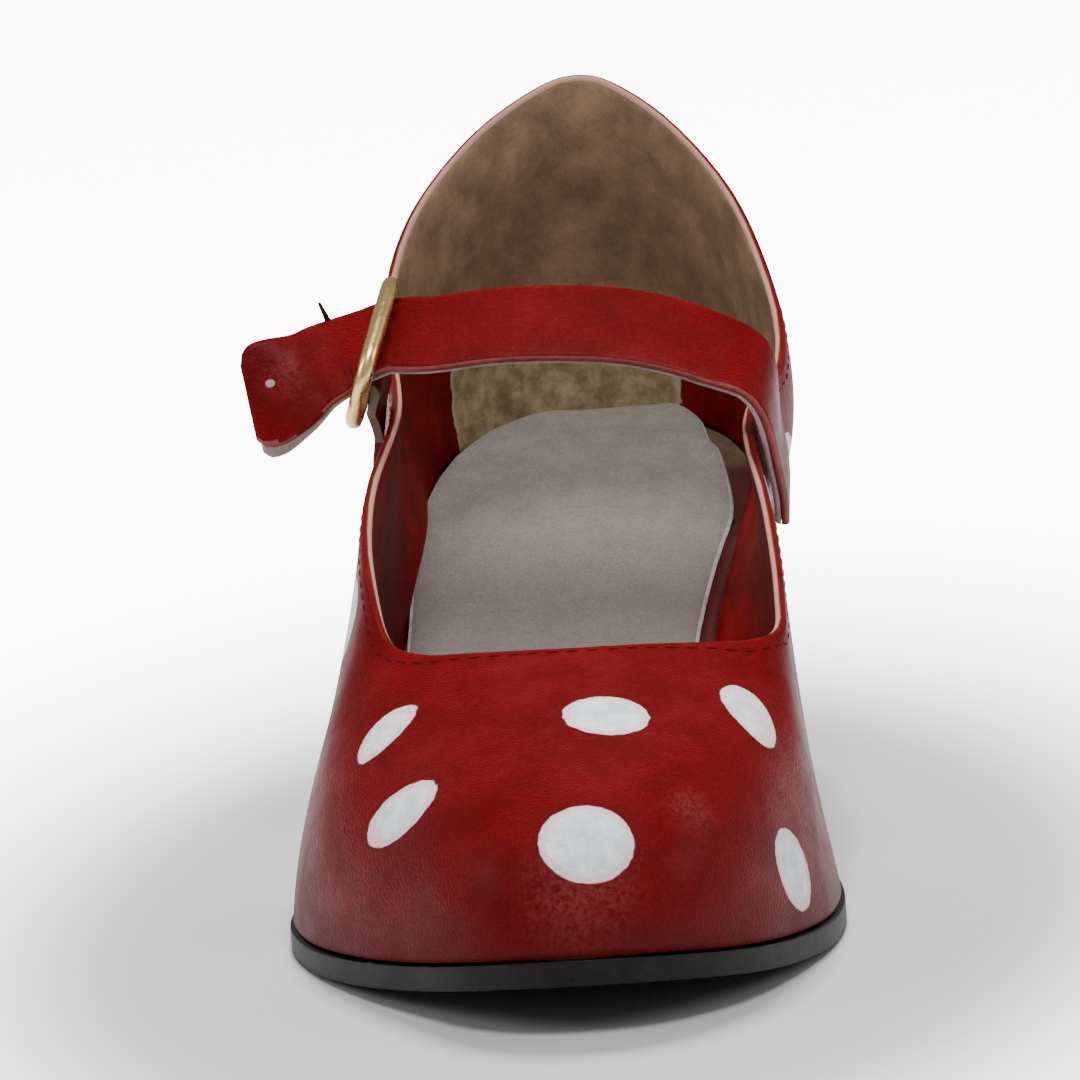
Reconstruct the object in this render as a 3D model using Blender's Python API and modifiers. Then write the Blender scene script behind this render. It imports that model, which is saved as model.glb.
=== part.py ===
"""Right shoe of a pair: child's instep-strap pump with a covered heel.

Named sizes are millimetres and are scaled to metres when a mesh is made.  The
tables hold shares of the length, the ball's width, the heel's height and the
height of the upper at its back.  +Z is up, the toe points to -Y, +X is the
inner side of the foot.  The origin is the centre of the top piece's walking
face.
"""
import bpy
import math
from mathutils import Vector

SCALE = 0.001

# Sole and heel
LENGTH = 165.0
BALL_WIDTH = 65.2
HEEL_HEIGHT = 36.8
SOLE_THICK = 3.0
FLAP_THICK = 2.0
SOLE_BEVEL = 0.5
BREAST_AT = 38.6
LIFT_THICK = 4.0
LIFT_WIDTH = 25.6
LIFT_LENGTH = 23.8
LIFT_BACK = 4.4
LIFT_SQUARE = 0.42
HEEL_BACK = LIFT_BACK + LIFT_LENGTH / 2.0
NAIL_RADIUS = 0.7
NAIL_DEPTH = 1.0
GAP = 0.3

# Upper
WALL = 1.5
BACK_HEIGHT = 48.0
UPPER_INSET = 0.35
STATIONS = 90
ROWS = 9

# Insole and sock pad
INSOLE_THICK = 1.4
INSOLE_INSET = UPPER_INSET + WALL + 1.0
SOCK_THICK = 0.8

# Strap and buckle
STRAP_WIDTH = 11.6
STRAP_THICK = 1.8
BUCKLE_AT = (-0.3436, 0.4139, 0.9553)
BUCKLE_OUT = (-0.95, 0.0, 0.32)
BUCKLE_LONG = (0.2, 0.76, 0.62)
STRAP_RUN = (-0.965, 0.0, -0.26)
RING_LONG = 19.0
RING_SHORT = 13.0
RING_CORNER = 4.6
WIRE = 0.8
BAR_AT = -2.3
CHAPE_WIDTH = 9.0
CHAPE_THICK = 1.1
PRONG = 0.55
PRONG_SLOT = 2.2
PRONG_HOLE = 2.0 * PRONG
STRAP_LEVEL = BAR_AT + WIRE + GAP + 2.0 * PRONG + 1.1 + STRAP_THICK / 2.0

# Sole outline: distance from the heel as a share of the length, half width on
# the inner side and on the outer side as shares of the ball's width.
OUTLINE_COLUMNS = ("share", "inner", "outer")
OUTLINE = (
    (0.000, 0.000, 0.000),
    (0.020, 0.160, 0.160),
    (0.050, 0.245, 0.242),
    (0.085, 0.301, 0.296),
    (0.125, 0.333, 0.327),
    (0.165, 0.339, 0.336),
    (0.223, 0.322, 0.322),
    (0.308, 0.281, 0.353),
    (0.390, 0.261, 0.393),
    (0.460, 0.298, 0.426),
    (0.530, 0.374, 0.457),
    (0.617, 0.459, 0.494),
    (0.702, 0.494, 0.506),
    (0.787, 0.479, 0.448),
    (0.862, 0.423, 0.347),
    (0.925, 0.350, 0.233),
    (0.968, 0.261, 0.144),
    (0.989, 0.184, 0.071),
    (1.000, 0.057, -0.057),
)

# Underside of the sole: distance from the heel as a share of the length,
# height above the floor as a share of the heel's height.
PROFILE_COLUMNS = ("back", "height")
PROFILE = (
    (0.0000, 1.000),
    (0.0727, 0.951),
    (0.1485, 0.875),
    (0.2230, 0.769),
    (0.3079, 0.592),
    (0.4145, 0.353),
    (0.5212, 0.144),
    (0.5879, 0.035),
    (0.6424, 0.000),
    (0.7515, 0.000),
    (0.8406, 0.030),
    (0.9212, 0.084),
    (1.0000, 0.160),
)

# Upper, side by side: distance from the heel at the sole, then the top edge
# (across, distance from the heel, height over the seat), then the curve between
# them: lean outward at the sole and its handle, fall below level at the top
# edge and its handle.  Distances from the heel are shares of the length, across
# is a share of the ball's width, heights and handles are shares of the height at
# the back.  The first rows are the toe, the last ones the back of the heel.
UPPER_COLUMNS = ("at", "top_x", "top_back", "top_rise", "lean", "rise", "fall", "reach")
TOE_ROW = (1.000, 0.069, 0.7206, 0.667, 3, 0.344, 12, 0.521)
BACK_ROW = (0.000, 0.015, 0.0606, 0.999, 6, 0.333, 74, 0.375)
INNER_ROWS = (
    (0.964, 0.169, 0.7194, 0.665, 3, 0.333, 14, 0.438),
    (0.891, 0.276, 0.7170, 0.658, 0, 0.271, 22, 0.292),
    (0.812, 0.368, 0.7103, 0.652, -4, 0.229, 45, 0.188),
    (0.745, 0.417, 0.6836, 0.654, -9, 0.229, 85, 0.229),
    (0.673, 0.417, 0.6424, 0.700, -9, 0.229, 90, 0.250),
    (0.594, 0.408, 0.5879, 0.752, 2, 0.250, 88, 0.250),
    (0.521, 0.387, 0.5212, 0.785, 22, 0.250, 84, 0.271),
    (0.461, 0.356, 0.4606, 0.793, 30, 0.271, 77, 0.292),
    (0.388, 0.365, 0.3879, 0.726, 32, 0.271, 80, 0.271),
    (0.315, 0.408, 0.3152, 0.633, 30, 0.271, 77, 0.250),
    (0.255, 0.408, 0.2545, 0.623, 24, 0.271, 81, 0.292),
    (0.200, 0.377, 0.2030, 0.673, 20, 0.271, 86, 0.312),
    (0.133, 0.319, 0.1515, 0.776, 13, 0.292, 84, 0.333),
    (0.073, 0.221, 0.1030, 0.883, 9, 0.312, 79, 0.354),
    (0.024, 0.117, 0.0715, 0.962, 7, 0.333, 76, 0.375),
)
OUTER_ROWS = (
    (0.964, -0.031, 0.7206, 0.667, 3, 0.333, 14, 0.417),
    (0.891, -0.138, 0.7194, 0.667, 0, 0.271, 18, 0.312),
    (0.812, -0.236, 0.7115, 0.665, -3, 0.250, 28, 0.229),
    (0.745, -0.298, 0.6861, 0.683, -4, 0.229, 42, 0.188),
    (0.673, -0.331, 0.6424, 0.771, -5, 0.229, 68, 0.229),
    (0.594, -0.353, 0.5794, 0.841, -4, 0.250, 80, 0.271),
    (0.521, -0.350, 0.5127, 0.845, 0, 0.250, 84, 0.271),
    (0.461, -0.331, 0.4558, 0.819, 2, 0.250, 82, 0.271),
    (0.388, -0.325, 0.3879, 0.739, 4, 0.250, 82, 0.250),
    (0.315, -0.337, 0.3152, 0.641, 12, 0.250, 84, 0.250),
    (0.255, -0.359, 0.2521, 0.632, 20, 0.250, 85, 0.271),
    (0.200, -0.359, 0.2030, 0.673, 20, 0.271, 86, 0.312),
    (0.133, -0.313, 0.1515, 0.776, 13, 0.292, 84, 0.333),
    (0.073, -0.212, 0.1030, 0.883, 9, 0.312, 79, 0.354),
    (0.024, -0.095, 0.0715, 0.962, 7, 0.333, 76, 0.375),
)

# Sock pad: distance from the heel, half width on the inner and outer side.
SOCK = (
    (0.048, 0.107, 0.138),
    (0.058, 0.184, 0.207),
    (0.079, 0.230, 0.253),
    (0.121, 0.264, 0.279),
    (0.182, 0.267, 0.276),
    (0.242, 0.248, 0.276),
    (0.315, 0.218, 0.301),
    (0.388, 0.202, 0.322),
    (0.461, 0.215, 0.337),
    (0.509, 0.230, 0.322),
    (0.533, 0.199, 0.276),
)

# Strap centre line from the inner side to its free end: across, distance from
# the heel and height over the seat, then the direction of the band's width.
STRAP = (
    (0.3589, 0.4394, 0.9062, 0.1, 0.86, 0.5),
    (0.2730, 0.4333, 0.9591, 0.03, 0.8, 0.6),
    (0.1442, 0.4285, 1.0056, 0, 0.775, 0.632),
    (0.0000, 0.4273, 1.0266, 0, 0.772, 0.635),
    (-0.1227, 0.4273, 1.0288, 0.05, 0.772, 0.635),
    (-0.2301, 0.4273, 1.0183, 0.1, 0.77, 0.63),
)
STRAP_END = (
    (-0.4440, 0.4279, 0.9540, 0.15, 0.64, 0.75),
    (-0.4831, 0.4297, 0.9365, 0.09, 0.46, 0.88),
    (-0.5291, 0.4309, 0.9180, 0.03, 0.34, 0.94),
    (-0.5782, 0.4321, 0.8973, 0, 0.28, 0.96),
)
# Where the strap and the chape lie on the upper: distance from the heel, share
# down from the top edge.
STRAP_SEAT = (
    (0.4255, 0.12),
    (0.4182, 0.21),
    (0.4097, 0.30),
)
CHAPE_SEAT = (
    (0.3794, 0.01),
    (0.3673, 0.08),
    (0.3515, 0.16),
    (0.3345, 0.24),
)


def hermite(nodes, values, slopes, at):
    i = 0
    while i < len(nodes) - 2 and at > nodes[i + 1]:
        i += 1
    span = nodes[i + 1] - nodes[i]
    t = (at - nodes[i]) / span
    a = (1.0 + 2.0 * t) * (1.0 - t) ** 2
    b = t * (1.0 - t) ** 2
    c = t * t * (3.0 - 2.0 * t)
    d = t * t * (t - 1.0)
    return a * values[i] + b * span * slopes[i] + c * values[i + 1] + d * span * slopes[i + 1]


def interpolate(nodes, values, at):
    """Smooth curve through the nodes with slopes that never overshoot."""
    count = len(nodes)
    spans = [nodes[i + 1] - nodes[i] for i in range(count - 1)]
    rates = [(values[i + 1] - values[i]) / spans[i] for i in range(count - 1)]
    slopes = [rates[0]]
    for i in range(1, count - 1):
        if rates[i - 1] * rates[i] <= 0.0:
            slopes.append(0.0)
        else:
            first = 2.0 * spans[i] + spans[i - 1]
            second = spans[i] + 2.0 * spans[i - 1]
            slopes.append((first + second) / (first / rates[i - 1] + second / rates[i]))
    slopes.append(rates[-1])
    return hermite(nodes, values, slopes, at)


def path_interpolate(nodes, values, at):
    """Smooth curve through the nodes, for lines in space."""
    spans = [nodes[i + 1] - nodes[i] for i in range(len(nodes) - 1)]
    rates = [(values[i + 1] - values[i]) / spans[i] for i in range(len(nodes) - 1)]
    slopes = [rates[0]]
    for i in range(1, len(rates)):
        total = spans[i - 1] + spans[i]
        slopes.append((rates[i - 1] * spans[i] + rates[i] * spans[i - 1]) / total)
    slopes.append(rates[-1])
    return hermite(nodes, values, slopes, at)


def loop_interpolate(nodes, values, at):
    """Smooth closed curve through nodes that lie between 0 and 1."""
    nodes = [nodes[-2] - 1.0, nodes[-1] - 1.0] + list(nodes) + [nodes[0] + 1.0, nodes[1] + 1.0]
    values = [values[-2], values[-1]] + list(values) + [values[0], values[1]]
    slopes = [0.0]
    for i in range(1, len(nodes) - 1):
        before = nodes[i] - nodes[i - 1]
        after = nodes[i + 1] - nodes[i]
        left = (values[i] - values[i - 1]) / before
        right = (values[i + 1] - values[i]) / after
        slopes.append((left * after + right * before) / (before + after))
    slopes.append(0.0)
    return hermite(nodes, values, slopes, at % 1.0)


def turn_at(back, inner):
    """Place round the outline, 0 at the toe tip and 0.5 at the heel."""
    angle = math.acos(max(-1.0, min(1.0, 1.0 - 2.0 * back / LENGTH)))
    if inner:
        return 0.5 * (1.0 - angle / math.pi)
    return 0.5 * (1.0 + angle / math.pi)


def outline_nodes():
    nodes = []
    values = []
    for share, inner, outer in reversed(OUTLINE):
        nodes.append(turn_at(share * LENGTH, True))
        values.append(inner * BALL_WIDTH)
    for share, inner, outer in OUTLINE[1:-1]:
        nodes.append(turn_at(share * LENGTH, False))
        values.append(-outer * BALL_WIDTH)
    return nodes, values


OUTLINE_NODES, OUTLINE_VALUES = outline_nodes()


def outline_edge(turn):
    angle = math.pi * (1.0 - 2.0 * (turn % 1.0))
    back = LENGTH * (1.0 - math.cos(angle)) / 2.0
    return Vector((loop_interpolate(OUTLINE_NODES, OUTLINE_VALUES, turn), HEEL_BACK - back))


def outward(turn):
    step = 0.002
    along = outline_edge(turn + step) - outline_edge(turn - step)
    along.normalize()
    return Vector((along.y, -along.x))


def outline_point(turn, inset=0.0):
    """Point of the sole's outline in plan, moved in by the inset."""
    return outline_edge(turn) - outward(turn) * inset


def underside(y):
    share = (HEEL_BACK - y) / LENGTH
    nodes = [row[0] for row in PROFILE]
    values = [row[1] for row in PROFILE]
    return HEEL_HEIGHT * interpolate(nodes, values, max(0.0, min(1.0, share)))


def seat(y):
    """Height of the face that the upper and the insole stand on."""
    return underside(y) + SOLE_THICK


def place(across, back, rise):
    """Point from shares of the ball's width, the length and the height at the
    back, the last one over the seat below it."""
    y = HEEL_BACK - back * LENGTH
    return Vector((across * BALL_WIDTH, y, seat(y) + rise * BACK_HEIGHT))


def upper_nodes():
    rows = [(turn_at(TOE_ROW[0] * LENGTH, True), TOE_ROW)]
    rows += [(turn_at(row[0] * LENGTH, True), row) for row in INNER_ROWS]
    rows.append((turn_at(BACK_ROW[0] * LENGTH, True), BACK_ROW))
    rows += [(turn_at(row[0] * LENGTH, False), row) for row in reversed(OUTER_ROWS)]
    return [turn for turn, row in rows], [row for turn, row in rows]


UPPER_TURNS, UPPER_ROWS = upper_nodes()


def upper_value(turn, name):
    column = UPPER_COLUMNS.index(name)
    return loop_interpolate(UPPER_TURNS, [row[column] for row in UPPER_ROWS], turn)


def upper_curve(turn):
    """The four handles of the upper's section at one place of the outline."""
    foot = outline_point(turn, UPPER_INSET)
    out = outward(turn)
    lean = math.radians(upper_value(turn, "lean"))
    fall = math.radians(upper_value(turn, "fall"))
    rise = BACK_HEIGHT * upper_value(turn, "rise")
    reach = BACK_HEIGHT * upper_value(turn, "reach")
    dip = WALL * max(0.0, -math.sin(lean))
    start = Vector((foot.x, foot.y, seat(foot.y) + GAP + dip))
    top = place(
        upper_value(turn, "top_x"),
        upper_value(turn, "top_back"),
        upper_value(turn, "top_rise"),
    )
    first = start + rise * Vector((out.x * math.sin(lean), out.y * math.sin(lean), math.cos(lean)))
    last = top + reach * Vector((out.x * math.cos(fall), out.y * math.cos(fall), -math.sin(fall)))
    return start, first, last, top


def upper_point(turn, share):
    """Outer face of the upper, share 0 at the sole and 1 at the top edge."""
    a, b, c, d = upper_curve(turn)
    t = share
    return a * (1 - t) ** 3 + b * 3 * t * (1 - t) ** 2 + c * 3 * t * t * (1 - t) + d * t ** 3


def upper_normal(turn, share):
    step = 0.004
    along = upper_point(turn + step, share) - upper_point(turn - step, share)
    up = upper_point(turn, min(1.0, share + step)) - upper_point(turn, max(0.0, share - step))
    normal = up.cross(along)
    normal.normalize()
    out = outward(turn)
    if normal.x * out.x + normal.y * out.y + 0.3 * normal.z < 0.0:
        normal = -normal
    return normal


def new_object(name, points, faces, material):
    mesh = bpy.data.meshes.new(name)
    mesh.from_pydata([tuple(p * SCALE for p in point) for point in points], [], faces)
    mesh.validate()
    body = bpy.data.objects.new(name, mesh)
    bpy.context.scene.collection.objects.link(body)
    mesh.materials.append(material)
    face_out(body)
    return body


def face_out(body):
    bpy.ops.object.select_all(action="DESELECT")
    bpy.context.view_layer.objects.active = body
    body.select_set(True)
    bpy.ops.object.mode_set(mode="EDIT")
    bpy.ops.mesh.select_all(action="SELECT")
    bpy.ops.mesh.normals_make_consistent(inside=False)
    bpy.ops.object.mode_set(mode="OBJECT")


def material(name, colour, roughness, metallic):
    slot = bpy.data.materials.new(name)
    slot.use_nodes = True
    shader = slot.node_tree.nodes["Principled BSDF"]
    shader.inputs["Base Color"].default_value = (*colour, 1.0)
    shader.inputs["Roughness"].default_value = roughness
    shader.inputs["Metallic"].default_value = metallic
    slot.diffuse_color = (*colour, 1.0)
    return slot


def skin(sections):
    """Closed skin over rings with the same number of points each."""
    points = [point for ring in sections for point in ring]
    count = len(sections[0])
    faces = []
    for row in range(len(sections) - 1):
        for i in range(count):
            j = (i + 1) % count
            low = row * count
            high = low + count
            faces.append((low + i, low + j, high + j, high + i))
    last = (len(sections) - 1) * count
    faces.append(tuple(reversed(range(count))))
    faces.append(tuple(last + i for i in range(count)))
    return points, faces


def sole_ring(inner, outer, under, above, across=2):
    ring = []
    for i in range(across + 1):
        t = i / across
        x = inner.x + (outer.x - inner.x) * t
        y = inner.y + (outer.y - inner.y) * t
        ring.append(Vector((x, y, under(y))))
    for i in range(across, -1, -1):
        t = i / across
        x = inner.x + (outer.x - inner.x) * t
        y = inner.y + (outer.y - inner.y) * t
        ring.append(Vector((x, y, above(y))))
    return ring


def breast_front(t):
    """Front face of the flap in the side view, from the crease down."""
    crease = Vector((HEEL_BACK - BREAST_AT, underside(HEEL_BACK - BREAST_AT)))
    foot = Vector((HEEL_BACK - LIFT_BACK - LIFT_LENGTH - FLAP_THICK + 0.1, LIFT_THICK + GAP))
    waist = Vector((foot.x + 0.176 * (crease.x - foot.x), foot.y + 0.696 * (crease.y - foot.y)))
    return crease * (1 - t) ** 2 + waist * 2 * t * (1 - t) + foot * t * t


def breast_back(t):
    step = 0.01
    along = breast_front(min(1.0, t + step)) - breast_front(max(0.0, t - step))
    along.normalize()
    thick = FLAP_THICK + (SOLE_THICK - FLAP_THICK) * max(0.0, 1.0 - 4.0 * t)
    point = breast_front(t) + Vector((-along.y, along.x)) * thick
    if t >= 1.0:
        point.y = LIFT_THICK + GAP
    return point


def breast_at_height(z):
    """Where the heel block's front face stands at a height."""
    low, high = 0.0, 1.0
    for _ in range(40):
        mid = 0.5 * (low + high)
        if breast_back(mid).y > z:
            low = mid
        else:
            high = mid
    return breast_back(high).x + GAP


def ease(t):
    return t * t * (3.0 - 2.0 * t)


def seat_half():
    """Half width of the heel's seat where the breast begins."""
    inner = outline_edge(turn_at(BREAST_AT, True)).x
    outer = outline_edge(turn_at(BREAST_AT, False)).x
    return 0.5 * (inner - outer)


def heel_half_width(level):
    half = seat_half()
    return half + (LIFT_WIDTH / 2.0 - half) * ease(level)


def make_outsole(black):
    rings = []
    count = 46
    toe = math.pi - 0.03
    crease = math.acos(1.0 - 2.0 * (BREAST_AT + 2.2) / LENGTH)
    for i in range(count + 1):
        angle = toe + (crease - toe) * i / count
        turn = 0.5 * (1.0 - angle / math.pi)
        rings.append(sole_ring(outline_point(turn), outline_point(1.0 - turn), underside, seat))
    steps = 9
    for i in range(steps + 1):
        t = i / steps
        front = breast_front(t)
        back = breast_back(t)
        level = (breast_front(0.0).y - front.y) / (breast_front(0.0).y - breast_front(1.0).y)
        half = heel_half_width(level)
        ring = []
        for j in range(3):
            ring.append(Vector((half * (1 - j), front.x, front.y)))
        for j in range(2, -1, -1):
            ring.append(Vector((half * (1 - j), back.x, back.y)))
        rings.append(ring)
    points, faces = skin(rings)
    sole = new_object("outsole", points, faces, black)
    bevel(sole, SOLE_BEVEL, 2, 55.0)
    return sole


def bevel(body, width, segments, angle):
    edge = body.modifiers.new("edge", "BEVEL")
    edge.width = width * SCALE
    edge.segments = segments
    edge.limit_method = "ANGLE"
    edge.angle_limit = math.radians(angle)
    edge.harden_normals = False
    return edge


def lift_shape(i, count):
    """Unit outline of the top piece: across -1 to 1, depth 0 front to 1 back."""
    angle = math.pi * i / count
    x = math.cos(angle)
    side = math.sin(angle)
    x = math.copysign(abs(x) ** (1.0 - 0.45 * LIFT_SQUARE), x)
    return x, side ** (1.0 - LIFT_SQUARE * 0.55)


def lift_ring(z, inset=0.0, count=28):
    ring = []
    front = HEEL_BACK - LIFT_BACK - LIFT_LENGTH
    for i in range(count + 1):
        x, depth = lift_shape(i, count)
        half = LIFT_WIDTH / 2.0 - inset
        ring.append(Vector((half * x, front + inset + (LIFT_LENGTH - 2 * inset) * depth, z)))
    return ring


def make_heel(red):
    count = 28
    levels = 9
    seat_back = HEEL_BACK - UPPER_INSET
    top_front = breast_at_height(seat(HEEL_BACK - BREAST_AT + SOLE_THICK) - GAP) + 0.2
    start = turn_at(HEEL_BACK - top_front, True)
    finish = turn_at(HEEL_BACK - top_front, False)
    rings = []
    for k in range(levels + 1):
        level = k / levels
        ring = []
        corner_z = seat(top_front) * (1 - level) + (LIFT_THICK + GAP) * level
        front = min(breast_at_height(corner_z), HEEL_BACK - LIFT_BACK - LIFT_LENGTH + 2.4)
        front = max(front, top_front)
        back = seat_back - (LIFT_BACK - UPPER_INSET) * (1.0 - (1.0 - level) ** 1.7)
        half = heel_half_width(level)
        for i in range(count + 1):
            turn = start + (finish - start) * i / count
            plan = outline_point(turn, UPPER_INSET)
            seat_x = plan.x / seat_half()
            seat_depth = (plan.y - top_front) / (seat_back - top_front)
            lift_x, lift_depth = lift_shape(i, count)
            mix = ease(level)
            x = seat_x * (1 - mix) + lift_x * mix
            depth = seat_depth * (1 - mix) + lift_depth * mix
            top_z = seat(plan.y)
            z = top_z * (1 - level) + (LIFT_THICK + GAP) * level
            ring.append(Vector((half * x, front + (back - front) * depth, z)))
        rings.append(ring)
    points, faces = skin(rings)
    heel = new_object("heel", points, faces, red)
    bevel(heel, 0.3, 1, 60.0)
    return heel


def make_top_lift(black):
    rings = [lift_ring(0.0, 0.4), lift_ring(0.4), lift_ring(LIFT_THICK)]
    points, faces = skin(rings)
    lift = new_object("top_lift", points, faces, black)
    for index, (across, along) in enumerate(((-0.26, -0.24), (0.26, -0.24), (0.02, 0.3))):
        at = (across * LIFT_WIDTH, along * LIFT_LENGTH, 0.0)
        cutter = tool_cylinder("nail_hole_%d" % index, NAIL_RADIUS, 2 * NAIL_DEPTH, at)
        subtract(lift, cutter)
    return lift


def tools():
    name = "tools"
    folder = bpy.data.collections.get(name)
    if folder is None:
        folder = bpy.data.collections.new(name)
        bpy.context.scene.collection.children.link(folder)
    return folder


def keep_as_tool(body):
    for folder in list(body.users_collection):
        folder.objects.unlink(body)
    tools().objects.link(body)
    body.hide_render = True
    body.display_type = "WIRE"
    return body


def tool_cylinder(name, radius, depth, centre, direction=(0.0, 0.0, 1.0)):
    bpy.ops.mesh.primitive_cylinder_add(vertices=16, radius=radius * SCALE, depth=depth * SCALE)
    body = bpy.context.active_object
    body.name = name
    turn = Vector((0.0, 0.0, 1.0)).rotation_difference(Vector(direction))
    body.rotation_mode = "QUATERNION"
    body.rotation_quaternion = turn
    body.location = [value * SCALE for value in centre]
    return keep_as_tool(body)


def subtract(body, cutter):
    cut = body.modifiers.new(cutter.name, "BOOLEAN")
    cut.operation = "DIFFERENCE"
    cut.solver = "EXACT"
    cut.object = cutter


def unite(body, other):
    join = body.modifiers.new(other.name, "BOOLEAN")
    join.operation = "UNION"
    join.solver = "EXACT"
    join.object = other


def make_upper(red):
    points = []
    faces = []
    for i in range(STATIONS):
        turn = i / STATIONS
        for j in range(ROWS + 1):
            points.append(upper_point(turn, j / ROWS))
    for i in range(STATIONS):
        after = (i + 1) % STATIONS
        for j in range(ROWS):
            a = i * (ROWS + 1) + j
            b = after * (ROWS + 1) + j
            faces.append((a, b, b + 1, a + 1))
    mesh = bpy.data.meshes.new("upper")
    mesh.from_pydata([tuple(p * SCALE for p in point) for point in points], [], faces)
    mesh.validate()
    body = bpy.data.objects.new("upper", mesh)
    bpy.context.scene.collection.objects.link(body)
    mesh.materials.append(red)
    middle = upper_normal(0.25, 0.4)
    facet = mesh.polygons[int(0.25 * STATIONS) * ROWS + 4].normal
    if facet.dot(middle) < 0.0:
        mesh.flip_normals()
    wall = body.modifiers.new("wall", "SOLIDIFY")
    wall.thickness = WALL * SCALE
    wall.offset = -1.0
    wall.use_even_offset = True
    return body


def make_plate(name, rows, low, thick, finish):
    rings = []
    for inner, outer in rows:
        rings.append(sole_ring(inner, outer, lambda y: seat(y) + low,
                               lambda y: seat(y) + low + thick))
    points, faces = skin(rings)
    return new_object(name, points, faces, finish)


def make_insole(tan):
    rows = []
    count = 44
    for i in range(count + 1):
        turn = 0.5 * (0.5 * (1 - math.cos(math.pi * i / count)) * 0.97 + 0.015)
        rows.append((outline_point(turn, INSOLE_INSET), outline_point(1.0 - turn, INSOLE_INSET)))
    return make_plate("insole", rows, GAP, INSOLE_THICK, tan)


def make_sock(grey):
    rows = []
    count = 30
    nodes = [row[0] for row in SOCK]
    for i in range(count + 1):
        share = 0.5 * (1 - math.cos(math.pi * i / count))
        back = nodes[0] + (nodes[-1] - nodes[0]) * share
        y = HEEL_BACK - back * LENGTH
        inner = BALL_WIDTH * interpolate(nodes, [row[1] for row in SOCK], back)
        outer = BALL_WIDTH * interpolate(nodes, [row[2] for row in SOCK], back)
        rows.append((Vector((inner, y)), Vector((-outer, y))))
    return make_plate("sock_pad", rows, GAP + INSOLE_THICK + GAP, SOCK_THICK, grey)


def buckle_axes():
    out = Vector(BUCKLE_OUT)
    out.normalize()
    along = Vector(BUCKLE_LONG)
    along -= out * along.dot(out)
    along.normalize()
    rise = along.cross(out)
    if rise.z < 0.0:
        rise = -rise
    return along, rise, out


def in_buckle(a, b, c):
    """Point of the buckle's own frame: along the bars, up through it, outward."""
    along, rise, out = buckle_axes()
    return place(*BUCKLE_AT) + along * a + rise * b + out * c


def ribbon(path, thick, across=4, samples=40):
    """Flat band along a table of centre points and width directions."""
    lengths = [0.0]
    for i in range(1, len(path)):
        lengths.append(lengths[-1] + (path[i][0] - path[i - 1][0]).length)
    def value(at, pick):
        return Vector([path_interpolate(lengths, [pick(row)[k] for row in path], at)
                       for k in range(3)])
    rings = []
    for i in range(samples + 1):
        at = lengths[-1] * i / samples
        step = lengths[-1] * 0.004
        centre = value(at, lambda row: row[0])
        ahead = value(min(lengths[-1], at + step), lambda row: row[0])
        behind = value(max(0.0, at - step), lambda row: row[0])
        along = ahead - behind
        along.normalize()
        wide = value(at, lambda row: row[1])
        wide -= along * wide.dot(along)
        wide.normalize()
        half = interpolate(lengths, [row[2] for row in path], at)
        normal = along.cross(wide)
        ring = []
        for j in range(across + 1):
            ring.append(centre + wide * half * (2 * j / across - 1) - normal * thick / 2)
        for j in range(across, -1, -1):
            ring.append(centre + wide * half * (2 * j / across - 1) + normal * thick / 2)
        rings.append(ring)
    return skin(rings)


def seat_on_upper(rows, inner, clear, wide, half):
    """Band stations just outside the upper, from the distance from the heel
    and the share down from the top edge, the width laid in the surface."""
    result = []
    for back, down in rows:
        turn = turn_at(back * LENGTH, inner)
        normal = upper_normal(turn, 1.0 - down)
        point = upper_point(turn, 1.0 - down) + normal * clear
        result.append((point, wide - normal * normal.dot(wide), half))
    return result


def strap_path():
    half = STRAP_WIDTH / 2.0
    clear = STRAP_THICK / 2.0 + GAP + 0.45
    wide = Vector((0.05, 0.9, 0.44))
    path = list(reversed(seat_on_upper(STRAP_SEAT, True, clear, wide, half)))
    for across, back, rise, wx, wy, wz in STRAP:
        path.append((place(across, back, rise), Vector((wx, wy, wz)), half))
    along = buckle_axes()[0]
    run = Vector(STRAP_RUN)
    path.append((in_buckle(0.0, STRAP_LEVEL, 0.0) - run * 2.0, along, half))
    path.append((in_buckle(0.0, STRAP_LEVEL, 0.0) + run * 1.2, along, half))
    path.append((in_buckle(0.0, STRAP_LEVEL, 0.0) + run * 3.9, along, half))
    for across, back, rise, wx, wy, wz in STRAP_END:
        path.append((place(across, back, rise), Vector((wx, wy, wz)), half))
    point, wide, half = path[-1]
    path[-1] = (point, wide, half * 0.86)
    return path


def make_strap(red):
    points, faces = ribbon(strap_path(), STRAP_THICK, across=2, samples=44)
    strap = new_object("strap", points, faces, red)
    bevel(strap, 0.35, 1, 50.0)
    rise = buckle_axes()[1]
    at = in_buckle(0.0, STRAP_LEVEL, 0.75)
    hole = tool_cylinder("prong_hole", PRONG_HOLE, 3.4 * STRAP_THICK, at, rise)
    subtract(strap, hole)
    return strap


def ring_path(count=10):
    """Centre line of the buckle's frame: a rectangle with round corners."""
    long_half = RING_LONG / 2.0 - WIRE
    short_half = RING_SHORT / 2.0 - WIRE
    corner = RING_CORNER
    path = []
    for quarter, (sa, sb) in enumerate(((1, 1), (-1, 1), (-1, -1), (1, -1))):
        for i in range(count + 1):
            angle = math.pi / 2.0 * (quarter + i / count)
            a = sa * (long_half - corner) + corner * math.cos(angle)
            b = sb * (short_half - corner) + corner * math.sin(angle)
            path.append(in_buckle(a, b, 0.0))
    return path


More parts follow.
